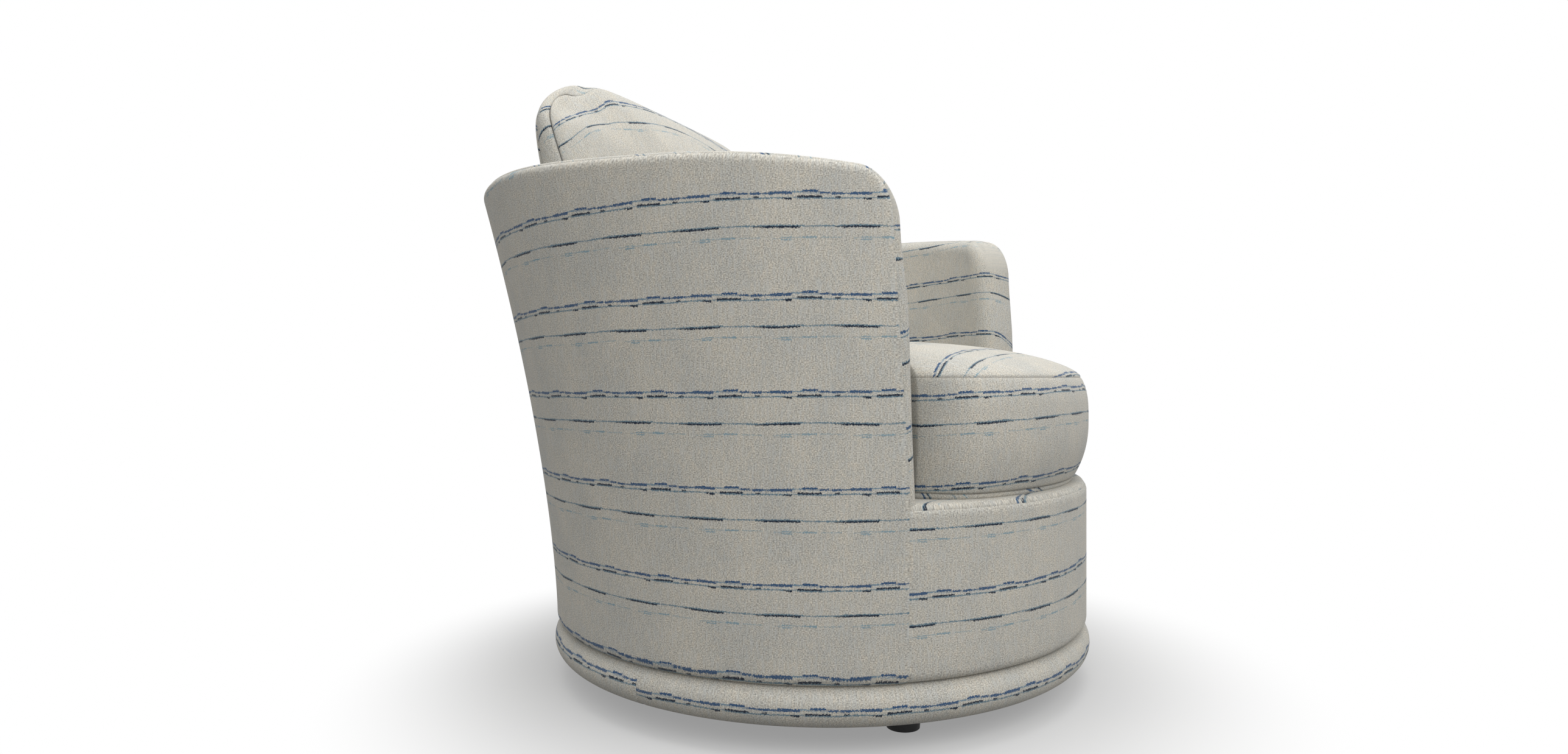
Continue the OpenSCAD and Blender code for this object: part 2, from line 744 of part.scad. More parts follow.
module cushion_solid() {
    under = [for (i = [0:len(under_shares) - 1])
        cushion_ring(under_shares[i], 0, cushion_z + cushion_under * under_rise_shares[i])];
    sides = [for (i = [0:len(boxing_height_shares) - 1])
        cushion_ring(1, boxing_bulge_shares[i], bottom_seam_z + boxing_h * boxing_height_shares[i])];
    crown = [for (s = crown_shares) cushion_ring(s, 0, crown_z(s))];
    cushion_form([0, 0, cushion_z],
        concat(under, [cushion_ring(1, 0, bottom_seam_z)], sides,
            [cushion_ring(1, 0, top_seam_z)], crown),
        [0, 0, crown_z(0)]);
}

module core_slab(grow) {
    translate([0, 0, bottom_seam_z + core_margin / 2 - grow])
        cylinder(r = core_r + grow, h = boxing_h - core_margin + 2 * grow, $fn = 2 * round_fn);
}

module cushion_cover() {
    color("#b9b6ab") at_axis() difference() {
        cushion_solid();
        core_slab(fit_gap);
    }
}

module cushion_core() {
    color("#f1e7b8") at_axis() core_slab(0);
}

zip_w = 8;
zip_t = 2;
zip_half_deg = 26;

// The zip runs along the middle of the back boxing
module cushion_zip() {
    z = bottom_seam_z + boxing_h / 2 - zip_w / 2;
    color("#8f8d84") at_axis() rotate([0, 0, 90 - zip_half_deg])
        rotate_extrude(angle = 2 * zip_half_deg, $fn = 2 * round_fn)
            translate([seam_r(180) + fit_gap, z]) square([zip_t, zip_w]);
}

// Back pillow: x across, v up its own height, n out of its front face
outline_power = 4.5;
fan_share = 0.1;
thin_share = 0.3;
face_shares = [1, 0.93, 0.8, 0.6, 0.32];
face_power = 0.62;
insert_share = 0.8;
boxing_swell = 4;

function face_t(share, half_t, edge) = edge + (half_t - edge) * pow(1 - share * share, face_power);
function outline(b, grow) =
    let (c = cos(b), s = sin(b),
        k = pow(pow(abs(c), outline_power) + pow(abs(s), outline_power), -1 / outline_power))
    [(pillow_half_w + grow) * k * c, (pillow_half_h + grow) * k * s];
// The height at which a point of the pillow's lower edge meets the cushion's crown
function stand_z(half_h, n) =
    let (y = pillow_y - half_h * sin(pillow_lean_deg) - n * cos(pillow_lean_deg))
    crown_z(y / seam_r(180)) + half_h * cos(pillow_lean_deg) - n * sin(pillow_lean_deg);
pillow_z = 2 * fit_gap + max(stand_z(pillow_half_h, -pillow_edge),
    stand_z(pillow_half_h, pillow_edge), stand_z(pillow_half_h + boxing_swell, 0));

// The pillow widens towards its top, above the rim, and gets thinner there
function placed(x, v, n) =
    let (up = v / pillow_half_h, depth = n * (1 - thin_share * pow(max(0, up), 2)))
    [x * (1 + fan_share * up),
        pillow_y + v * sin(pillow_lean_deg) - depth * cos(pillow_lean_deg)
            + pillow_flop * pow(max(0, up), 2),
        pillow_z + v * cos(pillow_lean_deg) + depth * sin(pillow_lean_deg)];
function pillow_ring(count, share, n, grow) = [for (i = [0:count - 1])
    let (p = outline(360 * i / count, grow)) placed(p[0] * share, p[1] * share, n)];

module pillow_form(count, size, half_t, edge) {
    back = [for (i = [len(face_shares) - 1:-1:0]) let (s = face_shares[i])
        pillow_ring(count, s * size, -face_t(s, half_t, edge), 0)];
    front = [for (s = face_shares) pillow_ring(count, s * size, face_t(s, half_t, edge), 0)];
    cushion_form(placed(0, 0, -half_t),
        concat(back, [pillow_ring(count, size, 0, boxing_swell)], front), placed(0, 0, half_t));
}

module pillow_cover() {
    color("#c3c0b6") at_axis() difference() {
        pillow_form(pillow_around, 1, pillow_half_t, pillow_edge);
        insert_form(fit_gap);
    }
}

module insert_form(grow) {
    pillow_form(insert_around, insert_share, insert_share * pillow_half_t + grow,
        insert_share * pillow_edge + grow);
}

module pillow_insert() {
    color("whitesmoke") at_axis() insert_form(0);
}

glide_feet();
foot_screws();
dust_cover();
base_board();
base_hoop();
ring_pad();
ring_cover();
lower_swivel_plate();
lower_plate_bolts();
bearing_balls();
ball_cage();
upper_swivel_plate();
upper_plate_bolts();
centre_pin();
centre_pin_nut();
seat_base_board();
back_ribs();
arm_posts();
seat_posts();
front_rail();
spring_rail();
top_rail();
sinuous_springs();
spring_clips();
tie_wires();
deck_pad();
deck_cloth();
outer_cover_panel();
inner_padded_panel();
rim_roll();
front_panel();
cushion_cover();
cushion_core();
cushion_zip();
pillow_cover();
pillow_insert();
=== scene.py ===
import json
import math

import bmesh
import bpy
import mathutils
import numpy as np
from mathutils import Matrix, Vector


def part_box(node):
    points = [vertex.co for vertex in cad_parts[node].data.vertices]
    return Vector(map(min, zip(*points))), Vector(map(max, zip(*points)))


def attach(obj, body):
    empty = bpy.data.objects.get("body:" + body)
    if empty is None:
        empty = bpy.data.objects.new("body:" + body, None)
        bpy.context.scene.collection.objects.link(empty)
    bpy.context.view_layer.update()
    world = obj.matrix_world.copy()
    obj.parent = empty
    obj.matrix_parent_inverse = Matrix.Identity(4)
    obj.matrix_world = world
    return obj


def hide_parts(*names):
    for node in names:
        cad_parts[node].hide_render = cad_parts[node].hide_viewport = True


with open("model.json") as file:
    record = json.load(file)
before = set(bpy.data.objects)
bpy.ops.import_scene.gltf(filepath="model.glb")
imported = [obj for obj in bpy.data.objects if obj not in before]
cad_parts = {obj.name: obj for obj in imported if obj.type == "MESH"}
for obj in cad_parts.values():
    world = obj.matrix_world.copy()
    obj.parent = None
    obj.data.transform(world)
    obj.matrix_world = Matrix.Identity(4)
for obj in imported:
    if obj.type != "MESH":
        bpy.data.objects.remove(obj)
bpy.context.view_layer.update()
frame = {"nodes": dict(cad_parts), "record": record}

# Sizes are in metres and angles in degrees. Round the shell, angles run from the middle of the
# back, positive towards +X

# The swivel's axis, and the shell's lower edge, flared back, wall and rim
AXIS_Y = -0.057
BODY_R = 0.378
BODY_Z = 0.084
RIM_Z = 0.671
FLARE = 0.122
FLARE_END = 140
FLARE_POWER = 1.5
WALL = 0.062
RIM_CROWN = 0.010

# The rim rises over the back and drops along the arms, to the round corners of the arm fronts,
# which lean back
BACK_RISE = 0.012
RISE_END = 90
RISE_RUN = 42
ARM_DROP = 0.020
DROP_START = 85
ARM_END = 127.5
ARM_LEAN = 0.026
CORNER_RUN = 0.032
CORNER_DROP = 0.045
FRONT_TOP = 0.271

# The plinth ring on its hoop, and the angle of its cover's seam
HOOP_R = 0.356
RING_R = 0.385
RING_Z = 0.031
RING_TOP = 0.080
RING_JOIN = 79.0

# The seat cushion: heights of its underside and seams, its crown, and its outline: round in
# front, straight past the arm fronts, and a little smaller than the shell's inside
CUSHION_Z = 0.2725
BOTTOM_SEAM = 0.284
TOP_SEAM = 0.4185
CROWN = 0.0525
CUSHION_R = 0.367
CUSHION_HALF_W = 0.2415
CUSHION_GAP = 0.004

# The back pillow: half its size, its seams' distance from its middle plane, the boxing's bulge,
# and how it stands
PILLOW_HALF_W = 0.286
PILLOW_HALF_H = 0.189
PILLOW_HALF_T = 0.080
PILLOW_EDGE = 0.026
PILLOW_FRONT_EDGE = 0.010
PILLOW_NARROW = 0.018
PILLOW_SWELL = 0.004
PILLOW_LEAN = math.radians(8)
PILLOW_Y = 0.249

# Each sewn edge rolls in at its seam: how deep, and over what width
SHELL_SEAM = (0.0034, 0.0042)
RIM_SEAM = (0.0022, 0.005)
FRONT_SEAM = (0.0032, 0.005)
FRONT_SIDE_SEAM = (0.0028, 0.0055)
RING_SEAM = (0.0022, 0.005)
UNDERSIDE_SEAM = (0.0026, 0.006)
LOW_BOXING_SEAM = (0.0022, 0.004)
HIGH_BOXING_SEAM = (0.0010, 0.004)
TOP_PANEL_SEAM = (0.0009, 0.0035)
PILLOW_FACE_SEAM = (0.0028, 0.0065)
PILLOW_BOXING_SEAM = (0.0022, 0.0050)
# The painted seam shade, a thin dark line along each seam's crease, shows this wide
SEAM_SHADE_WIDTH = 0.0016

# One repeat of the cloth's pattern, across the stripes and along them
REPEAT = 0.106
REPEAT_ALONG = 0.090


def placed(name, data):
    """A new object in the scene."""
    made = bpy.data.objects.new(name, data)
    bpy.context.collection.objects.link(made)
    return made


# Camera, at the photograph's own angle: level, in front of the chair and off to its -X side
camera_data = bpy.data.cameras.new("camera")
camera_data.lens = 20.88
camera_data.sensor_width = 36
camera_data.clip_start = 0.05
camera = placed("camera", camera_data)
camera.location = (-1.2688, -0.5895, 0.419)
camera.rotation_euler = (math.pi / 2, 0, math.radians(-65))
bpy.context.scene.camera = camera


def sin(degrees):
    return np.sin(np.radians(degrees))


def cos(degrees):
    return np.cos(np.radians(degrees))


def smooth(value, low, high):
    """0 up to low, 1 from high on, and an even curve between them."""
    share = np.clip((value - low) / (high - low), 0, 1)
    return share * share * (3 - 2 * share)


def edge_roll(distance, seam):
    """How far a sewn edge has turned in, at a distance from its seam."""
    depth, width = seam
    share = np.clip(1 - distance / width, 0, 1)
    return depth * (1 - np.sqrt(1 - share * share))


def arc_lengths(points, axis):
    """Length along the rows or columns of points, from the first one."""
    steps = np.linalg.norm(np.diff(points, axis=axis), axis=-1)
    zero = np.zeros_like(np.take(steps, [0], axis=axis))
    return np.concatenate([zero, np.cumsum(steps, axis=axis)], axis=axis)


# Meshes are built from patches: rows of points with the cloth's own coordinates at each,
# metres along the stripes and metres across them. Corners closer than MERGE become one
MERGE = 0.0002


def patch_faces(rows, columns, closed):
    """The corners of each face, among the patch's points and among its cloth coordinates."""
    i = np.arange(rows - 1)[:, None]
    j = np.arange(columns if closed else columns - 1)[None, :]

    def corners(stride, following):
        return np.stack([i * stride + j, i * stride + following,
                         (i + 1) * stride + following, (i + 1) * stride + j], -1).reshape(-1, 4)

    return corners(columns, (j + 1) % columns), corners(columns + (1 if closed else 0), j + 1)


def close_columns(values):
    return np.concatenate([values, values[:, :1]], axis=1)


def seam_shade_share(position, closed, sides):
    """Share of the painted seam shade: 1 on a patch's sewn sides, down to 0 a little way from them."""
    around = close_columns(position) if closed else position
    down = arc_lengths(around, 0)
    across = arc_lengths(around, 1)
    away = {"first": down, "last": down[-1:] - down, "left": across, "right": across[:, -1:] - across}
    near = np.ones(down.shape)
    for side in sides.split():
        near = np.minimum(near, away[side])
    return np.clip(1 - near / SEAM_SHADE_WIDTH, 0, 1)


def cloth_piece(name, patches, flip=False):
    """One mesh of several patches. Each has points, cloth coordinates, whether it closes round,
    and which of its sides are sewn, where the cloth gets its painted seam shade."""
    points = []
    faces = []
    coordinates = []
    offset = 0
    for position, cloth, closed, sewn in patches:
        corners, cloth_corners = patch_faces(position.shape[0], position.shape[1], closed)
        faces.append(corners + offset)
        laid = np.concatenate([cloth, seam_shade_share(position, closed, sewn)[..., None]], -1)
        coordinates.append(laid.reshape(-1, 3)[cloth_corners.reshape(-1)])
        points.append(position.reshape(-1, 3))
        offset += position.shape[0] * position.shape[1]
    points = np.concatenate(points)
    faces = np.concatenate(faces)
    coordinates = np.concatenate(coordinates).astype(np.float32)
    if flip:
        faces = faces[:, ::-1]
        coordinates = coordinates.reshape(-1, 4, 3)[:, ::-1].reshape(-1, 3)
    mesh = bpy.data.meshes.new(name)
    mesh.from_pydata(points.tolist(), [], faces.tolist())
    # The seam layer holds the share of painted shade along the sewn sides
    for layer_name, columns in (("cloth", [0, 1]), ("seam", [2, 2])):
        layer = mesh.uv_layers.new(name=layer_name)
        layer.data.foreach_set("uv", coordinates[:, columns].reshape(-1))
    piece = placed(name, mesh)
    work = bmesh.new()
    work.from_mesh(mesh)
    bmesh.ops.remove_doubles(work, verts=work.verts, dist=MERGE)
    bmesh.ops.dissolve_degenerate(work, edges=work.edges, dist=1e-6)
    work.to_mesh(mesh)
    work.free()
    mesh.polygons.foreach_set("use_smooth", [True] * len(mesh.polygons))
    mesh.update()
    return piece


def thicken(piece, thickness):
    """A backing on the hidden side, so that the cover is a closed pad."""
    solid = piece.modifiers.new("backing", "SOLIDIFY")
    solid.thickness = thickness
    solid.offset = -1
    solid.use_even_offset = False


# The shell's form
ARM_LENGTH = BODY_R * math.radians(ARM_END)
CORNER_ANGLE = CORNER_RUN / ARM_LENGTH * ARM_END
CORNER_STEPS = 20
RIM_STEPS = 190


def outer_r(a, z):
    """Radius of the shell's outside."""
    rise = np.maximum(0, (z - BODY_Z) / (RIM_Z - BODY_Z)) ** FLARE_POWER
    return BODY_R + FLARE * cos(90 * a / FLARE_END) ** 2 * rise


def leaned(a, z):
    """The angle of a column of the wall at a height: the arm fronts lean back above the seat."""
    rise = np.maximum(0, z - FRONT_TOP) / (RIM_Z - FRONT_TOP)
    return a * (1 - ARM_LEAN * rise / ARM_LENGTH)


def at(a, r, z):
    """The point at an angle, a radius and a height."""
    return np.stack([r * sin(a), AXIS_Y + r * cos(a), z + 0 * a], axis=-1)


def rim_level(a):
    drop = ARM_DROP * np.maximum(0, (np.abs(a) - DROP_START) / (ARM_END - DROP_START)) ** 2
    return RIM_Z - RIM_CROWN - drop + BACK_RISE * smooth(RISE_END - np.abs(a), 0, RISE_RUN)


def edge_stations():
    """Angle, height and turn along the wall's upper edge, from one arm front to the other. The
    turn is 0 at the first arm front, 90 along the rim and 180 at the other arm front."""
    turn = np.linspace(0, 90, CORNER_STEPS + 1)
    a = ARM_END - CORNER_ANGLE * (1 - cos(turn))
    z = rim_level(a) - CORNER_DROP * (1 - sin(turn))
    start = ARM_END - CORNER_ANGLE
    rim_a = np.linspace(start, -start, RIM_STEPS + 1)[1:-1]
    return (np.concatenate([a, rim_a, -a[::-1]]),
            np.concatenate([z, rim_level(rim_a), z[::-1]]),
            np.concatenate([turn, 90 + 0 * rim_a, 180 - turn[::-1]]))


# Where the main stripes lie on each part of the cover: a height or length, and the number of
# repeats there
OUTSIDE_MAINS = ([0.091, 0.191, 0.296, 0.403, 0.509, 0.619, 0.729], [5, 4, 3, 2, 1, 0, -1])
INSIDE_MAINS = ([0.185, 0.285, 0.385, 0.485, 0.582, 0.676, 0.780], [8, 7, 6, 5, 4, 3, 2])
RIM_MAINS = ([0, 0.529, 0.690, 0.834, 0.944, 1.006, 1.126, 1.232, 1.340, 1.446],
             [-3, 0, 1, 2, 3, 4, 5, 6, 7, 8])


def repeats(value, mains):
    return np.interp(value, mains[0], mains[1]) * REPEAT


# Outside cover: one panel round the back and the arms, sewn to the inside cover along the rim
# and down the arm fronts. Angles on it become lengths at a mean radius
OUTSIDE_MEAN_R = 0.42
OUTSIDE_CLOTH_R = 0.40
OUTSIDE_BACKING = 0.006
OUTSIDE_ROWS = 44
TUCK_ROWS = 6
SIDE_SAMPLES = 60
# The distances are worked out in so many batches, to save memory
BATCHES = 40
ROWS_BESIDE_SEAM = [0, 0.0004, 0.001, 0.0018, 0.0028, 0.004, 0.0065, 0.011]
# The lower edge of the body's covers turns in under it
TUCK_R = 0.008
TUCK_REACH = 0.045
TUCK_CLOTH = 0.002
# The outside stripes sag towards the middle of the back, the more the higher they are
SAG = 0.018
SAG_HEIGHT = 0.58


def rows_from_edge(low, high):
    """Rows from the sewn edge down, close together beside the seam."""
    near = np.array(ROWS_BESIDE_SEAM)[:, None]
    span = (high - low)[None, :] - near[-1]
    share = np.linspace(0, 1, OUTSIDE_ROWS + 1)[1:, None]
    return np.concatenate([high[None, :] - near, high[None, :] - near[-1] - share * span])


def outside_cover():
    a, high = edge_stations()[:2]
    z = rows_from_edge(BODY_Z + TUCK_R, high)
    angle = leaned(a[None, :], z)
    radius = outer_r(a[None, :], z)
    # Each point's distance from the sewn edge, on the cover rolled out flat
    run = np.radians(angle) * OUTSIDE_MEAN_R
    edge_run = np.radians(leaned(a, high)) * OUTSIDE_MEAN_R
    down = np.linspace(BODY_Z, high[0], SIDE_SAMPLES)
    side_run = np.radians(leaned(ARM_END, down)) * OUTSIDE_MEAN_R
    edge = np.concatenate([np.stack([edge_run, high], -1), np.stack([side_run, down], -1),
                           np.stack([-side_run, down], -1)])
    flat = np.stack([run, z], -1).reshape(-1, 2)
    near = np.zeros(len(flat))
    for part in np.array_split(np.arange(len(flat)), BATCHES):
        gaps = flat[part][:, None, :] - edge[None, :, :]
        near[part] = np.sqrt((gaps ** 2).sum(-1).min(1))
    # The columns end on the side seam, which the sampled edge meets only at its points
    side = np.abs(np.radians(leaned(ARM_END, z)) * OUTSIDE_MEAN_R) - np.abs(run)
    near = np.minimum(near, side.reshape(-1))
    inset = edge_roll(near.reshape(z.shape), SHELL_SEAM)
    points = at(angle, radius - inset, z)
    tuck = []
    for b in np.linspace(0, 90, TUCK_ROWS + 1)[1:]:
        turned_in = radius[-1] - inset[-1] - TUCK_R * (1 - cos(b))
        tuck.append(at(angle[-1], turned_in, BODY_Z + TUCK_R * (1 - sin(b)) + 0 * a))
    tuck.append(at(angle[-1], radius[-1] - TUCK_REACH, BODY_Z + 0 * a))
    sag = SAG * cos(90 * angle / ARM_END) ** 2 * np.clip((z - BODY_Z) / SAG_HEIGHT, 0, 1) ** 2
    along = np.radians(angle) * OUTSIDE_CLOTH_R
    cloth = np.stack([along, repeats(z + sag, OUTSIDE_MAINS)], -1)
    under = [cloth[-1] + np.array([0, TUCK_CLOTH * (i + 1)]) for i in range(len(tuck))]
    piece = cloth_piece("outside_cover", [(np.concatenate([points, np.stack(tuck)]),
                                           np.concatenate([cloth, np.stack(under)]),
                                           False, "first left right")])
    thicken(piece, OUTSIDE_BACKING)
    return piece


# Inside cover: from the seam outside, over the rim and the arm fronts, and down the inside. A
# seam along the top joins the rim's band to the inside back; it runs out at the arm fronts.
# The roll over the rim is squarer on its outside, and its inner edge lies lower
DROP_IN = 0.016
OUTSIDE_POWER = 0.5
INSIDE_POWER = 0.8
SECTION_STEPS = 36
RIM_SEAM_ACROSS = -0.018
# The arm fronts are padded most below their tops
NOSE_LEVELS = [0.27, 0.367, 0.407, 0.467, 0.50, 0.567]
NOSE_CROWNS = [0.0145, 0.0165, 0.018, 0.020, 0.0205, 0.0165]
WALL_ROWS = 40
WALL_BELOW_LIP = 0.004
INSIDE_BACKING = 0.004
# The cloth: lengths round the inside, the rise of its stripes towards the arm fronts, and the
# band's share of the roll with how its weave runs
INSIDE_CLOTH_R = 0.335
STRIPE_RISE = 0.010
STRIPE_RISE_START = 90
STRIPE_RISE_RUN = 30
BAND_SHARE = 0.66
BAND_RATE = (0.3, 0.98)
BAND_ACROSS = 0.8
BAND_ALONG = 0.55


def roll_section(crown):
    """The roll's section, from its outside seam to its inner edge: across the wall, and up."""
    b = 90 * (1 - cos(np.linspace(0, 180, SECTION_STEPS + 1)))
    c = cos(b)
    s = np.clip(sin(b), 0, 1)
    power = np.where(b <= 90, OUTSIDE_POWER, INSIDE_POWER)
    drop = np.where(b <= 90, 0, DROP_IN)
    return WALL / 2 * np.sign(c) * np.abs(c) ** power, (crown + drop) * s ** power - drop


def roll_points(a, z, turn):
    """The roll's section at each station: points, and the distance from the outside seam."""
    points = []
    widths = []
    for i in range(len(a)):
        lift = float(sin(turn[i]))
        forward = float(cos(turn[i]))
        nose = np.interp(z[i], NOSE_LEVELS, NOSE_CROWNS)
        across, up = roll_section(nose + (RIM_CROWN - nose) * lift)
        line = np.stack([across, up], -1)
        width = arc_lengths(line, 0)
        tangent = np.gradient(line, axis=0)
        tangent /= np.linalg.norm(tangent, axis=-1)[:, None]
        normal = np.stack([-tangent[:, 1], tangent[:, 0]], -1)
        seam_at = np.interp(-RIM_SEAM_ACROSS, -across, width)
        inset = edge_roll(width, SHELL_SEAM)
        inset = inset + edge_roll(np.abs(width - seam_at), RIM_SEAM) * float(smooth(lift, 0.2, 0.8))
        line = line + normal * inset[:, None]
        turned = leaned(a[i], z[i])
        out = np.array([sin(turned), cos(turned), 0])
        along = np.array([cos(turned), -sin(turned), 0])
        radius = outer_r(a[i], z[i] + line[:, 1] * lift) - WALL / 2
        base = at(turned + 0 * radius, radius, z[i] + 0 * radius)
        upward = forward * along + lift * np.array([0, 0, 1])
        points.append(base + line[:, :1] * out + line[:, 1:] * upward)
        widths.append(width)
    return np.stack(points, 1), np.stack(widths, 1)


def inside_stripes(a, z):
    rise = STRIPE_RISE * np.clip((np.abs(a) - STRIPE_RISE_START) / STRIPE_RISE_RUN, 0, 1)
    return repeats(z - rise, INSIDE_MAINS)


def inside_cover():
    a, z, turn = edge_stations()
    low = FRONT_TOP - WALL_BELOW_LIP
    shares = np.linspace(0, 1, WALL_ROWS + 1)
    nose_z = z[0] - shares[1:] * (z[0] - low)
    nose_a = ARM_END + 0 * nose_z
    roll_a = np.concatenate([nose_a[::-1], a, -nose_a])
    roll_z = np.concatenate([nose_z[::-1], z, nose_z])
    roll_turn = np.concatenate([0 * nose_z, turn, 180 + 0 * nose_z])
    points, width = roll_points(roll_a, roll_z, roll_turn)

    # Length along the outside seam, from the middle of the back towards each arm front
    length = arc_lengths(points[0], 0)
    rim = slice(len(nose_a), -len(nose_a))
    length = np.abs(length - np.interp(0, -roll_a[rim], length[rim]))
    # The band's cloth crosses the stripes along the rim at a rate, and leans in by what is left.
    # Where the length falls, along the first arm, the rate is its lowest
    band_t = repeats(length, RIM_MAINS)[None, :]
    rate = np.gradient(band_t[0]) / np.maximum(np.gradient(length), 1e-9)
    lean_in = np.sqrt(1 - np.clip(rate, *BAND_RATE) ** 2)

    # On the rim the band keeps its own cloth; on the arm fronts it runs over into the wall's
    seam_at = width[-1:] * BAND_SHARE
    on_rim = smooth(sin(roll_turn), 0.0, 0.85)
    past = width[-1:] - width
    near_wall = inside_stripes(roll_a, points[-1][:, 2])[None, :] - past * on_rim
    nose_share = smooth(width, 0, seam_at)
    nose_t = band_t * (1 - nose_share) + near_wall * nose_share
    rim_t = band_t + lean_in[None, :] * width
    in_band = width < seam_at
    t = np.where(in_band, nose_t * (1 - on_rim) + rim_t * on_rim, near_wall)
    side = np.sign(roll_a) + (roll_a == 0)
    wall_s = np.radians(np.abs(leaned(roll_a, roll_z))) * INSIDE_CLOTH_R
    wall_s = wall_s + past * cos(np.minimum(roll_turn, 180 - roll_turn))
    rim_s = width * BAND_ACROSS - length[None, :] * BAND_ALONG
    s = np.where(in_band, wall_s * (1 - on_rim) + rim_s * on_rim, wall_s) * side
    roll = (points, np.stack([s, t], -1), False, "first")

    # The inside wall hangs from the roll's inner edge
    edge_z = z - DROP_IN * sin(turn)
    rows = edge_z[None, :] - shares[:, None] * (edge_z - low)[None, :]
    turned = leaned(a[None, :], rows)
    wall = at(turned, outer_r(a[None, :], rows) - WALL, rows)
    along = np.stack([cos(turned), -sin(turned), 0 * turned], -1)
    wall = wall - DROP_IN * cos(turn)[None, :, None] * along
    first = len(nose_a)
    wall[0] = points[-1][first:first + len(a)]
    wall[:, 0] = points[-1][:first + 1][::-1]
    wall[:, -1] = points[-1][first + len(a) - 1:]
    cloth = np.stack([np.radians(turned) * INSIDE_CLOTH_R, inside_stripes(a[None, :], rows)], -1)
    piece = cloth_piece("inside_cover", [roll, (wall, cloth, False, "")])
    thicken(piece, INSIDE_BACKING)
    return piece


# Front panel: the face below the seat, a seam at its top edge, and the padded lip behind it
FRONT_SEAM_Z = 0.2695
FACE_MAIN_Z = 0.179
FRONT_BACKING = 0.005
# Columns close to each side seam, in degrees from it, and rows close below the top seam
COLUMNS_BESIDE_SEAM = np.array([0.12, 0.20, 0.28, 0.38, 0.5, 0.7, 1.0])
ROWS_BELOW_SEAM = np.array([0.0075, 0.004, 0.002, 0.0007, 0])
# The lip's section behind the seam: how far in from the face, and how high
LIP = [(0.0026, 0.2702), (0.0020, 0.2709), (0.0028, 0.2717), (0.0055, 0.2724), (0.0105, 0.2728),
       (0.018, 0.2727), (0.027, 0.2723), (0.036, 0.2719), (0.045, 0.2716), (0.056, 0.2713),
       (0.075, 0.2710)]
# The lip's stripes run across the chair, a little slantwise
LIP_SHIFT = 0.022
LIP_SLANT = 0.10


def front_panel():
    half = 180 - ARM_END
    middle = np.linspace(1.4 - half, half - 1.4, 107)
    a = np.concatenate([COLUMNS_BESIDE_SEAM - half, middle, half - COLUMNS_BESIDE_SEAM[::-1]])
    run = np.abs(np.radians(half) * BODY_R - np.abs(np.radians(a)) * BODY_R)
    section = [(TUCK_REACH, BODY_Z)]
    for b in range(0, 91, 15):
        section.append((TUCK_R * (1 - float(sin(b))), BODY_Z + TUCK_R * (1 - float(cos(b)))))
    face_z = np.concatenate([np.linspace(BODY_Z + 0.02, 0.258, 16), FRONT_SEAM_Z - ROWS_BELOW_SEAM])
    for z in face_z:
        section.append((float(edge_roll(FRONT_SEAM_Z - z, FRONT_SEAM)), z))
    seam = len(section) - 1
    section = np.array(section + LIP)
    z = section[:, 1:] + 0 * a[None, :]
    radius = BODY_R - (section[:, :1] + edge_roll(run, FRONT_SIDE_SEAM)[None, :])
    points = at(180 + a[None, :] + 0 * z, radius, z)
    face = np.stack([np.radians(a)[None, :] * BODY_R + 0 * z, 4 * REPEAT - (z - FACE_MAIN_Z)], -1)
    behind = arc_lengths(section, 0)[:, None]
    inward = BODY_R - (behind - behind[seam]) + 0 * z
    x = inward * sin(180 + a)[None, :]
    y = AXIS_Y + inward * cos(180 + a)[None, :]
    lip = np.stack([x, LIP_SHIFT - (y + LIP_SLANT * x)], -1)
    piece = cloth_piece("front_cover", [(points[:seam + 1], face[:seam + 1], False, "last left right"),
                                        (points[seam:], lip[seam:], False, "first")])
    thicken(piece, FRONT_BACKING)
    return piece


# Plinth ring: a padded roll on the hoop, its cover joined by one upright seam
RING_POWER = 2 / 2.1
RING_TUCK = 0.0115
RING_MAIN_Z = 0.055
RING_BACKING = 0.002
COLUMNS_BESIDE_JOIN = np.array([0, 0.07, 0.14, 0.21, 0.30, 0.45, 0.7, 1.1])
# The cover is cut slightly off the weave, so its stripes step at the seam
RING_STEP = 0.009


def ring_cover():
    b = np.linspace(-90, 90, 29)
    radius = HOOP_R + (RING_R - HOOP_R) * np.clip(cos(b), 0, 1) ** RING_POWER
    half = (RING_TOP - RING_Z) / 2
    z = (RING_Z + RING_TOP) / 2 + half * np.sign(b) * np.abs(sin(b)) ** RING_POWER
    section = np.concatenate([[[HOOP_R - RING_TUCK, RING_Z]], np.stack([radius, z], -1),
                              [[HOOP_R - RING_TUCK, RING_TOP]]])
    turned = np.concatenate([COLUMNS_BESIDE_JOIN, np.linspace(1.8, 358.2, 226),
                             360 - COLUMNS_BESIDE_JOIN[::-1]])
    a = turned[None, :-1]
    run = np.radians(np.minimum(a, 360 - a)) * RING_R
    radius = section[:, :1] - edge_roll(run, RING_SEAM)
    points = at(a - RING_JOIN + 0 * radius, radius, section[:, 1:] + 0 * a)
    arc = arc_lengths(section, 0)
    # The tucked edges lie at one height each, so the main stripe is sought between them
    main = np.interp(RING_MAIN_Z, section[5:-5, 1], arc[5:-5])
    t = (main - arc)[:, None] + RING_STEP * (1 - turned / 360)[None, :]
    around = np.radians(turned)[None, :] * RING_R + 0 * t
    piece = cloth_piece("ring_cloth", [(points, np.stack([around, t], -1), True, "left right")])
    thicken(piece, RING_BACKING)
    return piece


def denser(low, high, count, places, width, gain):
    """Places from low to high, closer together within a width of the given ones: the gain says
    how much closer."""
    fine = np.linspace(low, high, 4001)
    weight = 1 + gain * sum(np.exp(-((fine - p) / width) ** 2) for p in places)
    total = np.concatenate([[0], np.cumsum((weight[1:] + weight[:-1]) / 2)])
    return np.interp(np.linspace(0, total[-1], count + 1)[:-1], total, fine)


def from_centre(rows, centre, turned):
    """Cloth coordinates of a panel that was cut flat: the way out from its centre along each
    column, in the column's own direction."""
    path = np.concatenate([np.broadcast_to(centre, rows[:1].shape), rows])
    out = arc_lengths(path, 0)[1:]
    return np.stack([out * sin(turned), out * cos(turned)], -1)


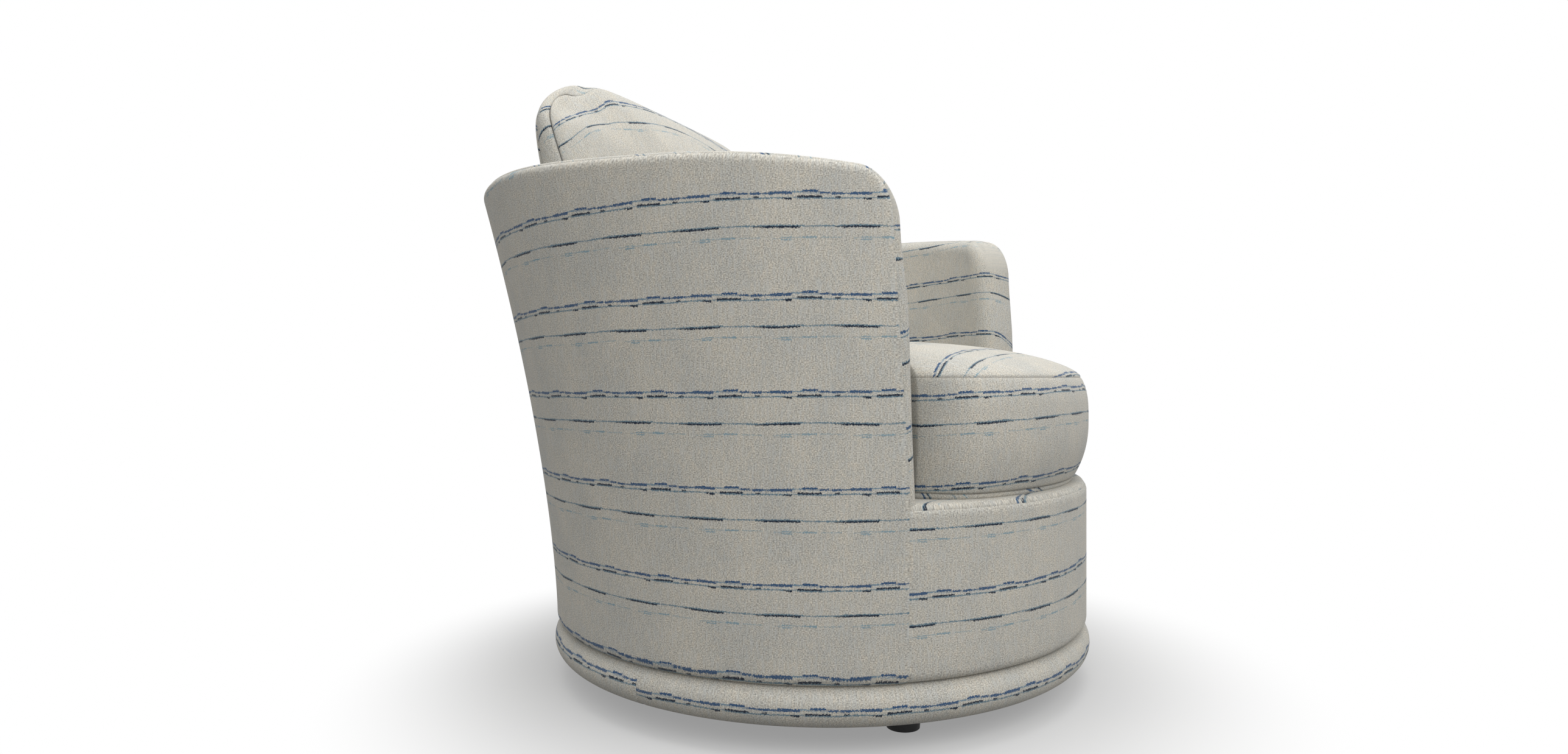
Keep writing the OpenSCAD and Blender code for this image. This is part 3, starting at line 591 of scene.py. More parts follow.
def with_centre(rows, centre, cloth):
    """A panel's rows and cloth coordinates with its centre before them, as a very small ring."""
    tip = centre + (rows[0] - centre) * 0.02
    return np.concatenate([tip[None], rows]), np.concatenate([cloth[:1] * 0.02, cloth])


# Seat cushion. Its angles t run from the front. The corner power rounds the outline's corners
CORNER_POWER = 26
CUSHION_COLUMNS = 280
ARM_FRONT_T = 47.6
# A mean radius, by which shares of the panels' width become lengths, and how much of the
# crown's rise counts with them as the way from the seam
CUSHION_MEAN_R = 0.34
CUSHION_RISE_SHARE = 0.7
# The boxing bulges between the arms: how far, up to which angle, and at which share of its
# height it is widest
BULGE = 0.019
BULGE_END = 48
BULGE_POWER = 0.35
WIDEST = 0.56
BELOW_POWER = 2.3
ABOVE_POWER = 3.4
# The share of the boxing's bulge that is left at its top seam
TOP_BULGE = 0.47
CROWN_POWER = 0.62
# Where the cushion meets the arm fronts, its sides are pressed in round them
ARM_PRESS = 0.022
PRESS_START = (47.2, 48.0)
PRESS_END = (50, 60)
PRESSED_SHARES = (0.84, 1.0)
# Rows of each part, as shares of the panel's width or heights above the lower seam, close
# together beside the seams. The underside rounds up to its seam from UNDERSIDE_FLAT on
UNDERSIDE_FLAT = 0.945
UNDERSIDE_ROWS = [0.12, 0.25, 0.4, 0.55, 0.68, 0.78, 0.86, 0.92, 0.945, 0.957, 0.968, 0.978, 0.986,
                  0.992, 0.9965, 0.999, 1]
BOXING_ROWS = np.array([0.0, 0.0009, 0.002, 0.0036, 0.006])
TOP_ROWS = [1, 0.9985, 0.996, 0.992, 0.986, 0.977, 0.965, 0.95, 0.93, 0.905, 0.875, 0.84, 0.8, 0.755,
            0.7, 0.64, 0.57, 0.49, 0.4, 0.31, 0.21, 0.11]
# How far in front of the centre a main stripe lies on the top and on the underside, how far the
# top's stripes bend, and the main stripe's height on the boxing, where it rises to the middle
TOP_MAIN = 0.270
TOP_BEND = 0.018
UNDERSIDE_MAIN = 0.130
BOXING_MAIN = 0.396
BOXING_RISE = 0.009
BOXING_WAVES = 1.8


def cushion_seam_r(t):
    """Radius of the seams: round in front, straight past the arm fronts, round inside the shell."""
    side = outer_r(180 - np.abs(t), BOTTOM_SEAM) - WALL - CUSHION_GAP
    straight = np.maximum(CUSHION_HALF_W / np.maximum(sin(np.abs(t)), 0.01), side)
    straight = np.where(np.abs(t) < 90, straight, side)
    return (CUSHION_R ** -CORNER_POWER + straight ** -CORNER_POWER) ** (-1 / CORNER_POWER)


def cushion_parts(t):
    """The cushion's parts, each rows of points round it: underside, boxing and top."""
    seam = cushion_seam_r(t)
    bulge = BULGE * np.clip(cos(90 * np.minimum(1, np.abs(t) / BULGE_END)), 0, 1) ** BULGE_POWER
    press = ARM_PRESS * smooth(np.abs(t), *PRESS_START) * (1 - smooth(np.abs(t), *PRESS_END))

    def ring(share, bulged, z, inset):
        radius = seam * share + bulge * bulged - inset - press * smooth(share, *PRESSED_SHARES)
        return np.stack([radius * sin(t), AXIS_Y - radius * cos(t), z + 0 * t], -1)

    underside = []
    for share in UNDERSIDE_ROWS:
        rounding = max(0.0, (share - UNDERSIDE_FLAT) / (1 - UNDERSIDE_FLAT))
        rise = (BOTTOM_SEAM - CUSHION_Z) * (1 - math.sqrt(max(0.0, 1 - rounding ** 2)))
        away = (1 - share) * CUSHION_MEAN_R
        underside.append(ring(share, 0, CUSHION_Z + rise, edge_roll(away, UNDERSIDE_SEAM)))

    height = TOP_SEAM - BOTTOM_SEAM
    level = np.concatenate([BOXING_ROWS, np.linspace(0.012, height - 0.012, 17),
                            height - BOXING_ROWS[::-1]])
    boxing = []
    for h in level:
        share = h / height
        if share < WIDEST:
            bulged = 1 - ((WIDEST - share) / WIDEST) ** BELOW_POWER
        else:
            bulged = 1 - (1 - TOP_BULGE) * ((share - WIDEST) / (1 - WIDEST)) ** ABOVE_POWER
        nearer_seam = HIGH_BOXING_SEAM if share > 0.5 else LOW_BOXING_SEAM
        inset = edge_roll(min(h, height - h), nearer_seam)
        boxing.append(ring(1, bulged, BOTTOM_SEAM + h, inset))

    top = []
    for share in TOP_ROWS:
        rise = CROWN * (1 - share ** 3) ** CROWN_POWER
        away = (1 - share) * CUSHION_MEAN_R + rise * CUSHION_RISE_SHARE
        inset = edge_roll(away, TOP_PANEL_SEAM)
        top.append(ring(share, TOP_BULGE * share ** 6, TOP_SEAM + rise, inset))
    return np.stack(underside), np.stack(boxing), np.stack(top)[::-1]


def seat_cushion():
    t = denser(-180, 180, CUSHION_COLUMNS, [-ARM_FRONT_T, ARM_FRONT_T], width=1.5, gain=13)
    underside, boxing, top = cushion_parts(t)
    turned = np.concatenate([t, t[:1] + 360])

    centre = np.array([0, AXIS_Y, CUSHION_Z])
    rows, cloth = with_centre(underside, centre, from_centre(close_columns(underside), centre, turned))
    cloth = cloth - np.array([0, UNDERSIDE_MAIN])
    patches = [(rows, cloth, True, "last")]

    # The boxing's stripes keep their distance from the top seam
    ring = close_columns(boxing)
    up = arc_lengths(ring, 0)
    around = arc_lengths(ring[len(ring) // 2][None], 1) + 0 * up
    down = up[-1:] - up - (TOP_SEAM - BOXING_MAIN)
    down = down + BOXING_RISE * np.clip(cos(turned * BOXING_WAVES), 0, 1)
    patches.append((boxing, np.stack([around, down], -1), True, "first last"))

    # Over the crown the top's stripes bend back towards the sides
    centre = np.array([0, AXIS_Y, top[0][:, 2].max() + 0.0004])
    rows, cloth = with_centre(top, centre, from_centre(close_columns(top), centre, turned))
    bend = TOP_BEND * smooth(np.abs(cloth[..., 0]), 0.02, 0.25)
    cloth = np.stack([cloth[..., 0], cloth[..., 1] - TOP_MAIN + bend], -1)
    patches.append((rows[::-1], cloth[::-1], True, "first"))
    return cloth_piece("seat_cushion", patches, flip=True)


# Back pillow: x across, v up its own height, n out of its front face. The outline's power makes
# it a rounded rectangle, and the face's makes it a cushion
PILLOW_Z = float(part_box("pillow_cover")[0].z) + (PILLOW_HALF_H + PILLOW_SWELL) * math.cos(PILLOW_LEAN)
PILLOW_COLUMNS = 200
OUTLINE_POWER = 4.5
FACE_POWER = 0.62
# As on the cushion, for the way from the seam
PILLOW_MEAN_R = 0.25
PILLOW_RISE_SHARE = 0.6
# Rows of a face as shares of its size, and of the boxing as shares of its width, close together
# beside the seams
FACE_ROWS = [1, 0.9985, 0.996, 0.992, 0.985, 0.974, 0.958, 0.935, 0.905, 0.865, 0.815, 0.755, 0.685,
             0.6, 0.51, 0.42, 0.32, 0.22, 0.12]
PILLOW_BOXING_ROWS = np.concatenate([[0, 0.03, 0.07, 0.12], np.linspace(0.2, 0.8, 9),
                                     [0.88, 0.93, 0.97, 1]])
# The pillow as it sits: thinner, wider and flopped back towards its top, its corners lower than
# the middle of its top edge
PILLOW_THIN = 0.30
PILLOW_FAN = 0.10
PILLOW_FLOP = 0.008
MIDDLE_DROP = 0.004
CORNER_SINK = 0.022
# The fold in its top corner on the -X side: where, how wide, and how deep it presses the front
# seam down and in
FOLD_X = -0.250
FOLD_WIDTH = 0.042
FOLD_DOWN = 0.013
FOLD_IN = 0.004
# A main stripe's height on the faces, how far stripes run down to the sides over the full
# corners, and how they cross the boxing, slantwise
PILLOW_MAIN = 0.089
SIDE_DROP = 0.055
BOXING_SLANT = (0.57, 0.82)
BOXING_SHIFT = 0.03


def pillow_parts(b):
    """The pillow's parts before it is bent, each rows of points round it: back face, boxing and
    front face. b is the angle round its outline, from +X."""
    c = cos(b)
    s = sin(b)
    k = (np.abs(c) ** OUTLINE_POWER + np.abs(s) ** OUTLINE_POWER) ** (-1 / OUTLINE_POWER)
    outline = np.stack([k * c, k * s], -1)
    half = np.array([PILLOW_HALF_W, PILLOW_HALF_H])
    # The boxing is narrower at the pillow's sides, and most at its top corners
    side = np.abs(k * c)
    front_edge = (PILLOW_EDGE + (PILLOW_FRONT_EDGE - PILLOW_EDGE) * smooth(side, 0.55, 0.97)
                  - PILLOW_NARROW * smooth(k * s, 0.0, 1.0) * smooth(side, 0.6, 0.95))

    def ring(share, n, grow, inset):
        flat = outline * (half + grow - inset[:, None]) * share
        return np.concatenate([flat, (n + 0 * b)[:, None]], -1)

    def face(side, edge):
        rows = []
        for share in FACE_ROWS:
            rise = (PILLOW_HALF_T - edge) * (1 - share * share) ** FACE_POWER
            away = (1 - share) * PILLOW_MEAN_R + rise * PILLOW_RISE_SHARE
            rows.append(ring(share, side * (edge + rise), 0, edge_roll(away, PILLOW_FACE_SEAM)))
        return np.stack(rows)[::-1]

    width = PILLOW_EDGE + front_edge
    boxing = []
    for share in PILLOW_BOXING_ROWS:
        swell = PILLOW_SWELL * 4 * share * (1 - share)
        inset = edge_roll(min(share, 1 - share) * width, PILLOW_BOXING_SEAM)
        boxing.append(ring(1, -PILLOW_EDGE + share * width, swell, inset))
    return face(-1, PILLOW_EDGE + 0 * b), np.stack(boxing), face(1, front_edge)


def pillow_form(local):
    """Bends the pillow and sets it in its place."""
    x, v, n = local[..., 0], local[..., 1], local[..., 2]
    up = v / PILLOW_HALF_H
    n = n * (1 - PILLOW_THIN * np.maximum(0, up) ** 2)
    corner = smooth(np.abs(x), 0.19, 0.31) * smooth(up, 0.5, 1.0)
    middle = (1 - smooth(np.abs(x), 0.15, 0.26)) * smooth(up, 0.4, 1.0)
    v = v - MIDDLE_DROP * middle - CORNER_SINK * corner
    x = x * (1 + PILLOW_FAN * up)
    fold = np.exp(-(np.abs(x - FOLD_X) / FOLD_WIDTH) ** 4) * smooth(v, 0.09, 0.15)
    fold = fold * smooth(n, -0.002, 0.012)
    v = v - FOLD_DOWN * fold
    n = n - FOLD_IN * fold * (1 - smooth(n, 0.0, 0.03))
    y = PILLOW_Y + v * math.sin(PILLOW_LEAN) - n * math.cos(PILLOW_LEAN)
    y = y + PILLOW_FLOP * np.maximum(0, up) ** 2
    z = PILLOW_Z + v * math.cos(PILLOW_LEAN) + n * math.sin(PILLOW_LEAN)
    return np.stack([x, AXIS_Y + y, z], -1)


def back_pillow():
    b = denser(0, 360, PILLOW_COLUMNS, [45, 135, 225, 315], width=14, gain=1.2)
    back, boxing, front = pillow_parts(b)
    turned = np.concatenate([b, b[:1] + 360])
    patches = []
    for rows, side in ((back, -1), (front, 1)):
        centre = np.array([0, 0, side * PILLOW_HALF_T])
        cloth = from_centre(close_columns(rows), centre, turned)
        drop = SIDE_DROP * smooth(np.abs(cloth[..., 1]), 0.19, 0.31)
        cloth = np.stack([cloth[..., 1], -cloth[..., 0] - drop], -1)
        points, cloth = with_centre(rows, centre, cloth)
        cloth = cloth + np.array([0, PILLOW_MAIN])
        if side > 0:
            patches.append((pillow_form(points)[::-1], cloth[::-1], True, "first"))
        else:
            patches.append((pillow_form(points), cloth, True, "last"))
    ring = close_columns(boxing)
    across = arc_lengths(ring, 0)
    around = arc_lengths(ring[len(ring) // 2][None], 1) + 0 * across
    low, high = BOXING_SLANT
    s = low * around - high * across
    t = high * around + low * across + BOXING_SHIFT
    patches.append((pillow_form(boxing), np.stack([s, t], -1), True, "first last"))
    return cloth_piece("back_pillow", patches)


# The two sheets keep this far inside the edge of the solid that they replace
SHEET_MARGIN = 0.0005


# Deck cloth: a sheet of the striped cloth stretched over the deck padding, under the cushion. Its
# rows start at a small ring, so it is open at its centre
def deck_sheet():
    low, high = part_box("deck_cloth")
    radius = (high.x - low.x) / 2 - SHEET_MARGIN
    share = np.linspace(0.02, 1, 26)[:, None]
    a = np.linspace(0, 360, 97)[:-1][None, :]
    ripple = 0.0004 * sin(7 * a + 140 * share) * smooth(share, 0.3, 0.9)
    z = high.z - 0.0011 + ripple - 0.0006 * smooth(share, 0.9, 1.0)
    points = np.stack([radius * share * sin(a), AXIS_Y + radius * share * cos(a), z + 0 * a], -1)
    piece = cloth_piece("deck_sheet", [(points, close_columns(points[..., :2]), True, "")])
    return piece, radius


# Dust cloth: a black sheet stretched under the base board, with a hole for each foot. It is the
# upper face of its solid, set at half its thickness
def dust_sheet():
    low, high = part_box("dust_cover")
    radius = (high.x - low.x) / 2 - SHEET_MARGIN
    middle = (low.z + high.z) / 2
    mesh = frame["nodes"]["dust_cover"].data.copy()
    mesh.name = "dust_sheet"
    piece = placed("dust_sheet", mesh)
    work = bmesh.new()
    work.from_mesh(mesh)
    spare = [f for f in work.faces if f.calc_center_median().z <= middle or abs(f.normal.z) <= 0.7]
    bmesh.ops.delete(work, geom=spare, context="FACES")
    for vert in work.verts:
        vert.co.z = middle
    work.to_mesh(mesh)
    work.free()
    area = sum(p.area for p in mesh.polygons)
    return piece, radius, area


# Materials. Colours are written as sRGB hex values
def colour(hex_value):
    values = [int(hex_value[i:i + 2], 16) / 255 for i in (0, 2, 4)]
    return tuple(v / 12.92 if v <= 0.04045 else ((v + 0.055) / 1.055) ** 2.4 for v in values) + (1,)


def add(tree, kind, inputs=None, stops=(), **settings):
    """Adds a node. Inputs are values for its sockets, or what feeds them: a socket, or a node by
    its first output. Stops are a ramp's places and colours. Settings are the node's own."""
    made = tree.nodes.new("ShaderNode" + kind)
    for name, value in settings.items():
        setattr(made, name, value)
    for name, value in (inputs or {}).items():
        if isinstance(value, bpy.types.Node):
            value = value.outputs[0]
        if isinstance(value, bpy.types.NodeSocket):
            tree.links.new(value, made.inputs[name])
        else:
            made.inputs[name].default_value = value
    while stops and len(made.color_ramp.elements) < len(stops):
        made.color_ramp.elements.new(1.0)
    for number, (place, shade) in enumerate(stops):
        element = made.color_ramp.elements[number]
        element.position = place
        element.color = colour(shade) if isinstance(shade, str) else shade
    return made


def new_material(name):
    material = bpy.data.materials.new(name)
    material.use_nodes = True
    material.node_tree.nodes.clear()
    return material, material.node_tree


def finished(material, surface):
    """The material with its surface: one shader, with these inputs, to the output."""
    shader = add(material.node_tree, "BsdfPrincipled", surface)
    add(material.node_tree, "OutputMaterial", {"Surface": shader})
    return material


# The stripes of one repeat. Each is drawn by what it does along its length: the share of the
# repeat where a stretch begins, how far it lies above the stripe's line and its thickness, both
# in mm, and how strongly it shows
MAIN_STRIPE = [(0.0, -0.3, 2.6, 0.95), (0.10, 0.0, 1.2, 0.6), (0.13, 0.3, 2.2, 0.95),
               (0.25, 0.9, 1.1, 0.6), (0.27, 1.95, 2.4, 1.0), (0.465, 0.9, 0.0, 0.0),
               (0.59, 0.0, 3.1, 0.95), (0.865, -0.3, 1.5, 0.8), (0.97, -0.3, 2.6, 0.95)]
MAIN_THREAD = [(0.0, -0.2, 1.0, 0.6), (0.465, 0.9, 1.5, 0.95), (0.59, 0.3, 1.0, 0.6),
               (0.84, -0.4, 1.5, 0.95), (0.97, 0.0, 1.0, 0.6)]
LOWER_DASHES = [(0.0, 1.3, 1.6, 0.95), (0.06, 0.0, 0.0, 0.0), (0.22, 1.6, 2.0, 1.0),
                (0.53, 0.0, 0.0, 0.0), (0.595, -0.7, 2.0, 1.0), (0.67, -0.2, 1.4, 0.95),
                (0.71, 0.0, 0.0, 0.0), (0.995, 1.3, 1.6, 0.95)]
LOWER_THREAD = [(0.0, 0.0, 1.5, 0.95), (0.53, 0.7, 1.2, 0.8), (0.595, 0.2, 1.5, 0.95)]
FAR_DASHES = [(0.0, -0.9, 1.1, 0.85), (0.07, 0.0, 0.0, 0.0), (0.49, -1.1, 2.0, 1.0),
              (0.955, -0.9, 1.2, 0.9)]
FAR_THREAD = [(0.0, 0.0, 1.5, 0.95), (0.3, -0.2, 1.3, 0.85), (0.45, 0.3, 1.6, 0.95)]
PALE_THREAD = [(0.0, 0.0, 1.0, 0.6), (0.24, 0.0, 0.0, 0.0), (0.285, 0.0, 1.8, 0.9),
               (0.465, -0.2, 0.9, 0.6), (0.595, 0.0, 1.3, 0.85), (0.73, -1.0, 0.9, 0.6),
               (0.83, 0.0, 0.0, 0.0), (0.97, 0.0, 1.0, 0.6)]
PALE_TWIN = [(0.0, 0.0, 0.0, 0.0), (0.595, -2.4, 1.4, 0.85), (0.73, 0.0, 0.0, 0.0)]
# Each stripe's line in mm below the main one, its stretches and its yarn's colour
STRIPES = [(0.0, MAIN_THREAD, "5f7a8c"), (0.0, MAIN_STRIPE, "2c4a6c"), (5.4, LOWER_THREAD, "587280"),
           (5.4, LOWER_DASHES, "172334"), (33.9, FAR_THREAD, "587280"), (33.9, FAR_DASHES, "172334"),
           (46.0, PALE_THREAD, "718c97"), (46.0, PALE_TWIN, "718c97")]
# A ramp holds the stretches as colours: offsets up to 3 mm either way, thicknesses up to 4 mm
OFFSET_RANGE = 3.0
THICKNESS_RANGE = 4.0
# The share of a repeat that is drawn above its main stripe
ABOVE_MAIN = 0.1

# The cloth's grain: the size of its spots along and across the stripes, in mm, and their detail
GRAINS = {"wander": (1.6, 2.2, 3.0), "drift": (70.0, 70.0, 1.0), "nubs": (1.7, 1.3, 4.0),
          "clumps": (5.0, 8.0, 3.0), "uprights": (2.6, 22.0, 2.0), "broad": (60.0, 90.0, 2.0)}


def striped_cloth():
    """Woven upholstery cloth of looped cotton and linen yarn: matt, warm and pale, a nubby ground
    with smooth upright threads in it, and thin blue, navy and teal stripes that step up and down."""
    material, tree = new_material("striped woven upholstery")
    cloth = add(tree, "UVMap", uv_map="cloth")
    parts = add(tree, "SeparateXYZ", {0: cloth})
    grain = {}
    for name, (long, wide, detail) in GRAINS.items():
        scaled = add(tree, "Mapping", {0: cloth, "Scale": (1000 / long, 1000 / wide, 1.0)})
        grain[name] = add(tree, "TexNoise", {"Vector": scaled, "Scale": 1.0, "Detail": detail,
                                             "Roughness": 0.6}, noise_dimensions="2D")

    # Height within a repeat, in mm above its main stripe. Yarns are not straight: each stripe
    # shakes by a millimetre or two from nub to nub, and drifts slowly
    share = add(tree, "Math", {0: parts.outputs[1], 1: 1 / REPEAT, 2: ABOVE_MAIN}, operation="MULTIPLY_ADD")
    share = add(tree, "Math", {0: share}, operation="FRACT")
    height = add(tree, "Math", {0: share, 1: REPEAT * 1000, 2: -ABOVE_MAIN * REPEAT * 1000},
                 operation="MULTIPLY_ADD")
    shake = add(tree, "Math", {0: grain["wander"], 1: 4.2, 2: -2.1}, operation="MULTIPLY_ADD")
    drift = add(tree, "Math", {0: grain["drift"], 1: 3.0, 2: -1.5}, operation="MULTIPLY_ADD")
    stray = add(tree, "Math", {0: shake, 1: drift}, operation="ADD")
    height = add(tree, "Math", {0: height, 1: stray}, operation="ADD")
    # Share of the repeat along the stripes
    along = add(tree, "Math", {0: grain["wander"], 1: 0.02, 2: -0.01}, operation="MULTIPLY_ADD")
    along = add(tree, "Math", {0: parts.outputs[0], 1: 1 / REPEAT_ALONG, 2: along}, operation="MULTIPLY_ADD")
    along = add(tree, "Math", {0: along}, operation="FRACT")

    # Ground: nubs drawn a little coarser than the real ones, so that they show, and crossed by
    # smooth upright threads
    nubby = add(tree, "ValToRGB", {0: grain["nubs"]}, [(0.28, "6c6a62"), (0.40, "94918a"), (0.50, "b2afa6"),
                                                       (0.60, "cac7bd"), (0.74, "ebe7dc")])
    warmth = add(tree, "ValToRGB", {0: grain["clumps"]}, [(0.35, "a7a8a5"), (0.5, "b0ada5"),
                                                          (0.65, "c0b8aa")])
    ground = add(tree, "Mix", {0: 0.35, 6: nubby, 7: warmth}, data_type="RGBA").outputs[2]
    thread = add(tree, "ValToRGB", {0: grain["nubs"]}, [(0.3, "aeafac"), (0.5, "b8b9b6"), (0.7, "c3c4c0")])
    upright = add(tree, "MapRange", {0: grain["uprights"], 1: 0.53, 2: 0.60})
    half = add(tree, "Math", {0: upright, 1: 0.5}, operation="MULTIPLY")
    base = add(tree, "Mix", {0: half, 6: ground, 7: thread}, data_type="RGBA").outputs[2]
    shade = add(tree, "ValToRGB", {0: grain["broad"]}, [(0.3, "f2f3f4"), (0.7, "fffdfa")])
    base = add(tree, "Mix", {0: 1.0, 6: base, 7: shade}, data_type="RGBA", blend_type="MULTIPLY").outputs[2]

    # Stripes, fainter where a pale nub of the ground stands up through them
    gaps = add(tree, "MapRange", {0: grain["nubs"], 1: 0.62, 2: 0.70})
    solid = add(tree, "Math", {0: gaps, 1: -0.6, 2: 1.0}, operation="MULTIPLY_ADD")
    for line, stretches, hex_value in STRIPES:
        stops = [(start, (offset / OFFSET_RANGE / 2 + 0.5, thickness / THICKNESS_RANGE, strength, 1))
                 for start, offset, thickness, strength in stretches]
        ramp = add(tree, "ValToRGB", {0: along}, stops)
        ramp.color_ramp.interpolation = "CONSTANT"
        offset, thickness, strength = add(tree, "SeparateColor", {0: ramp}).outputs[:3]
        middle = add(tree, "Math", {0: offset, 1: -2 * OFFSET_RANGE, 2: line + OFFSET_RANGE},
                     operation="MULTIPLY_ADD")
        reach = add(tree, "Math", {0: thickness, 1: THICKNESS_RANGE / 2}, operation="MULTIPLY")
        away = add(tree, "Math", {0: height, 1: middle}, operation="SUBTRACT")
        away = add(tree, "Math", {0: away}, operation="ABSOLUTE")
        inside = add(tree, "Math", {0: reach, 1: away}, operation="SUBTRACT")
        inside = add(tree, "Math", {0: inside, 1: 2.5, 2: 0.5}, operation="MULTIPLY_ADD", use_clamp=True)
        shown = inside
        drawn = add(tree, "Math", {0: thickness, 1: 0.02}, operation="GREATER_THAN")
        for part_shown in (strength, solid, drawn):
            shown = add(tree, "Math", {0: shown, 1: part_shown}, operation="MULTIPLY")
        base = add(tree, "Mix", {0: shown, 6: base, 7: colour(hex_value)}, data_type="RGBA").outputs[2]

    # Painted seam shade: a thin dark line along each seam, where the stitched edge turns under into a crease
    seam = add(tree, "UVMap", uv_map="seam")
    sewn = add(tree, "SeparateXYZ", {0: seam})
    sewn = add(tree, "Math", {0: sewn, 1: 0.4}, operation="MULTIPLY")
    base = add(tree, "Mix", {0: sewn, 6: base, 7: colour("4d4b47")}, data_type="RGBA").outputs[2]

    relief = add(tree, "Math", {0: upright, 1: -0.25, 2: grain["nubs"]}, operation="MULTIPLY_ADD")
    bump = add(tree, "Bump", {"Height": relief, "Distance": 0.0008, "Strength": 0.24})
    rough = add(tree, "Math", {0: grain["clumps"], 1: 0.1, 2: 0.87}, operation="MULTIPLY_ADD")
    return finished(material, {"Base Color": base, "Roughness": rough, "Normal": bump, "Sheen Weight": 0.1,
                               "Sheen Roughness": 0.6, "Specular IOR Level": 0.2})


def birch_ply():
    """Birch plywood, sanded: pale face grain, and stripes of its veneers along each cut edge,
    1.5 mm apart."""
    material, tree = new_material("sanded birch plywood")
    place = add(tree, "TexCoord").outputs["Object"]
    long_way = add(tree, "Mapping", {0: place, "Scale": (14.0, 90.0, 90.0)})
    grain = add(tree, "TexNoise", {"Vector": long_way, "Scale": 1.0, "Detail": 5.0, "Roughness": 0.6})
    face = add(tree, "ValToRGB", {0: grain}, [(0.3, "c39c6a"), (0.5, "d5b283"), (0.7, "e0c299")])
    veneers = add(tree, "TexWave", {"Vector": place, "Scale": 1000 / 1.5 / 20, "Distortion": 0.6,
                                    "Detail": 2.0}, bands_direction="Z").outputs[1]
    edge = add(tree, "Mix", {0: veneers, 6: colour("a97e4c"), 7: colour("d8b988")}, data_type="RGBA")
    normal = add(tree, "NewGeometry").outputs["Normal"]
    flat = add(tree, "SeparateXYZ", {0: normal}).outputs[2]
    flat = add(tree, "Math", {0: flat}, operation="ABSOLUTE")
    upright = add(tree, "Math", {0: flat, 1: 0.5}, operation="LESS_THAN")
    base = add(tree, "Mix", {0: upright, 6: face, 7: edge.outputs[2]}, data_type="RGBA").outputs[2]
    bump = add(tree, "Bump", {"Height": grain, "Distance": 0.0004, "Strength": 0.4})
    rough = add(tree, "Math", {0: grain, 1: 0.2, 2: 0.5}, operation="MULTIPLY_ADD")
    return finished(material, {"Base Color": base, "Roughness": rough, "Normal": bump})


def beech_rail():
    """Planed hardwood: straight grain with short dark flecks."""
    material, tree = new_material("planed hardwood")
    place = add(tree, "TexCoord").outputs["Object"]
    upright = add(tree, "Mapping", {0: place, "Scale": (120.0, 120.0, 9.0)})
    grain = add(tree, "TexNoise", {"Vector": upright, "Scale": 1.0, "Detail": 6.0, "Roughness": 0.65})
    base = add(tree, "ValToRGB", {0: grain}, [(0.32, "9c7148"), (0.5, "bb8f60"), (0.68, "cda576")])
    bump = add(tree, "Bump", {"Height": grain, "Distance": 0.0005, "Strength": 0.4})
    rough = add(tree, "Math", {0: grain, 1: 0.2, 2: 0.45}, operation="MULTIPLY_ADD")
    return finished(material, {"Base Color": base, "Roughness": rough, "Normal": bump})


def plated(name, low, high, metal_rough, wear):
    """Plated steel: a cool metal whose surface is a little cloudy, with fine wear."""
    material, tree = new_material(name)
    place = add(tree, "TexCoord").outputs["Object"]
    cloud = add(tree, "TexNoise", {"Vector": place, "Scale": 60.0, "Detail": 4.0})
    fine = add(tree, "TexNoise", {"Vector": place, "Scale": 900.0, "Detail": 3.0})
    base = add(tree, "ValToRGB", {0: cloud}, [(0.35, low), (0.65, high)])
    bump = add(tree, "Bump", {"Height": fine, "Distance": 0.0002, "Strength": 0.25})
    rough = add(tree, "Math", {0: cloud, 1: wear, 2: metal_rough}, operation="MULTIPLY_ADD")
    return finished(material, {"Base Color": base, "Metallic": 1.0, "Roughness": rough, "Normal": bump})


def soft_fill(name, low, high, size):
    """Foam and wadding: open, pale and matt, with cells of a size in mm."""
    material, tree = new_material(name)
    place = add(tree, "TexCoord").outputs["Object"]
    cells = add(tree, "TexVoronoi", {"Vector": place, "Scale": 1000 / size})
    cloud = add(tree, "TexNoise", {"Vector": place, "Scale": 18.0, "Detail": 3.0})
    base = add(tree, "ValToRGB", {0: cloud}, [(0.3, low), (0.7, high)])
    bump = add(tree, "Bump", {"Height": cells, "Distance": 0.001, "Strength": 0.5})
    rough = add(tree, "Math", {0: cloud, 1: 0.1, 2: 0.85}, operation="MULTIPLY_ADD")
    return finished(material, {"Base Color": base, "Roughness": rough, "Normal": bump})


def black_plastic():
    """Moulded polypropylene of the glides: near black, with a fine spark finish and scuffs."""
    material, tree = new_material("moulded black polypropylene")
    place = add(tree, "TexCoord").outputs["Object"]
    spark = add(tree, "TexNoise", {"Vector": place, "Scale": 1500.0, "Detail": 2.0})
    scuffs = add(tree, "TexNoise", {"Vector": place, "Scale": 70.0, "Detail": 5.0})
    base = add(tree, "ValToRGB", {0: scuffs}, [(0.45, "151617"), (0.75, "2a2b2c")])
    bump = add(tree, "Bump", {"Height": spark, "Distance": 0.0002, "Strength": 0.3})
    rough = add(tree, "Math", {0: scuffs, 1: 0.25, 2: 0.4}, operation="MULTIPLY_ADD")
    return finished(material, {"Base Color": base, "Roughness": rough, "Normal": bump})


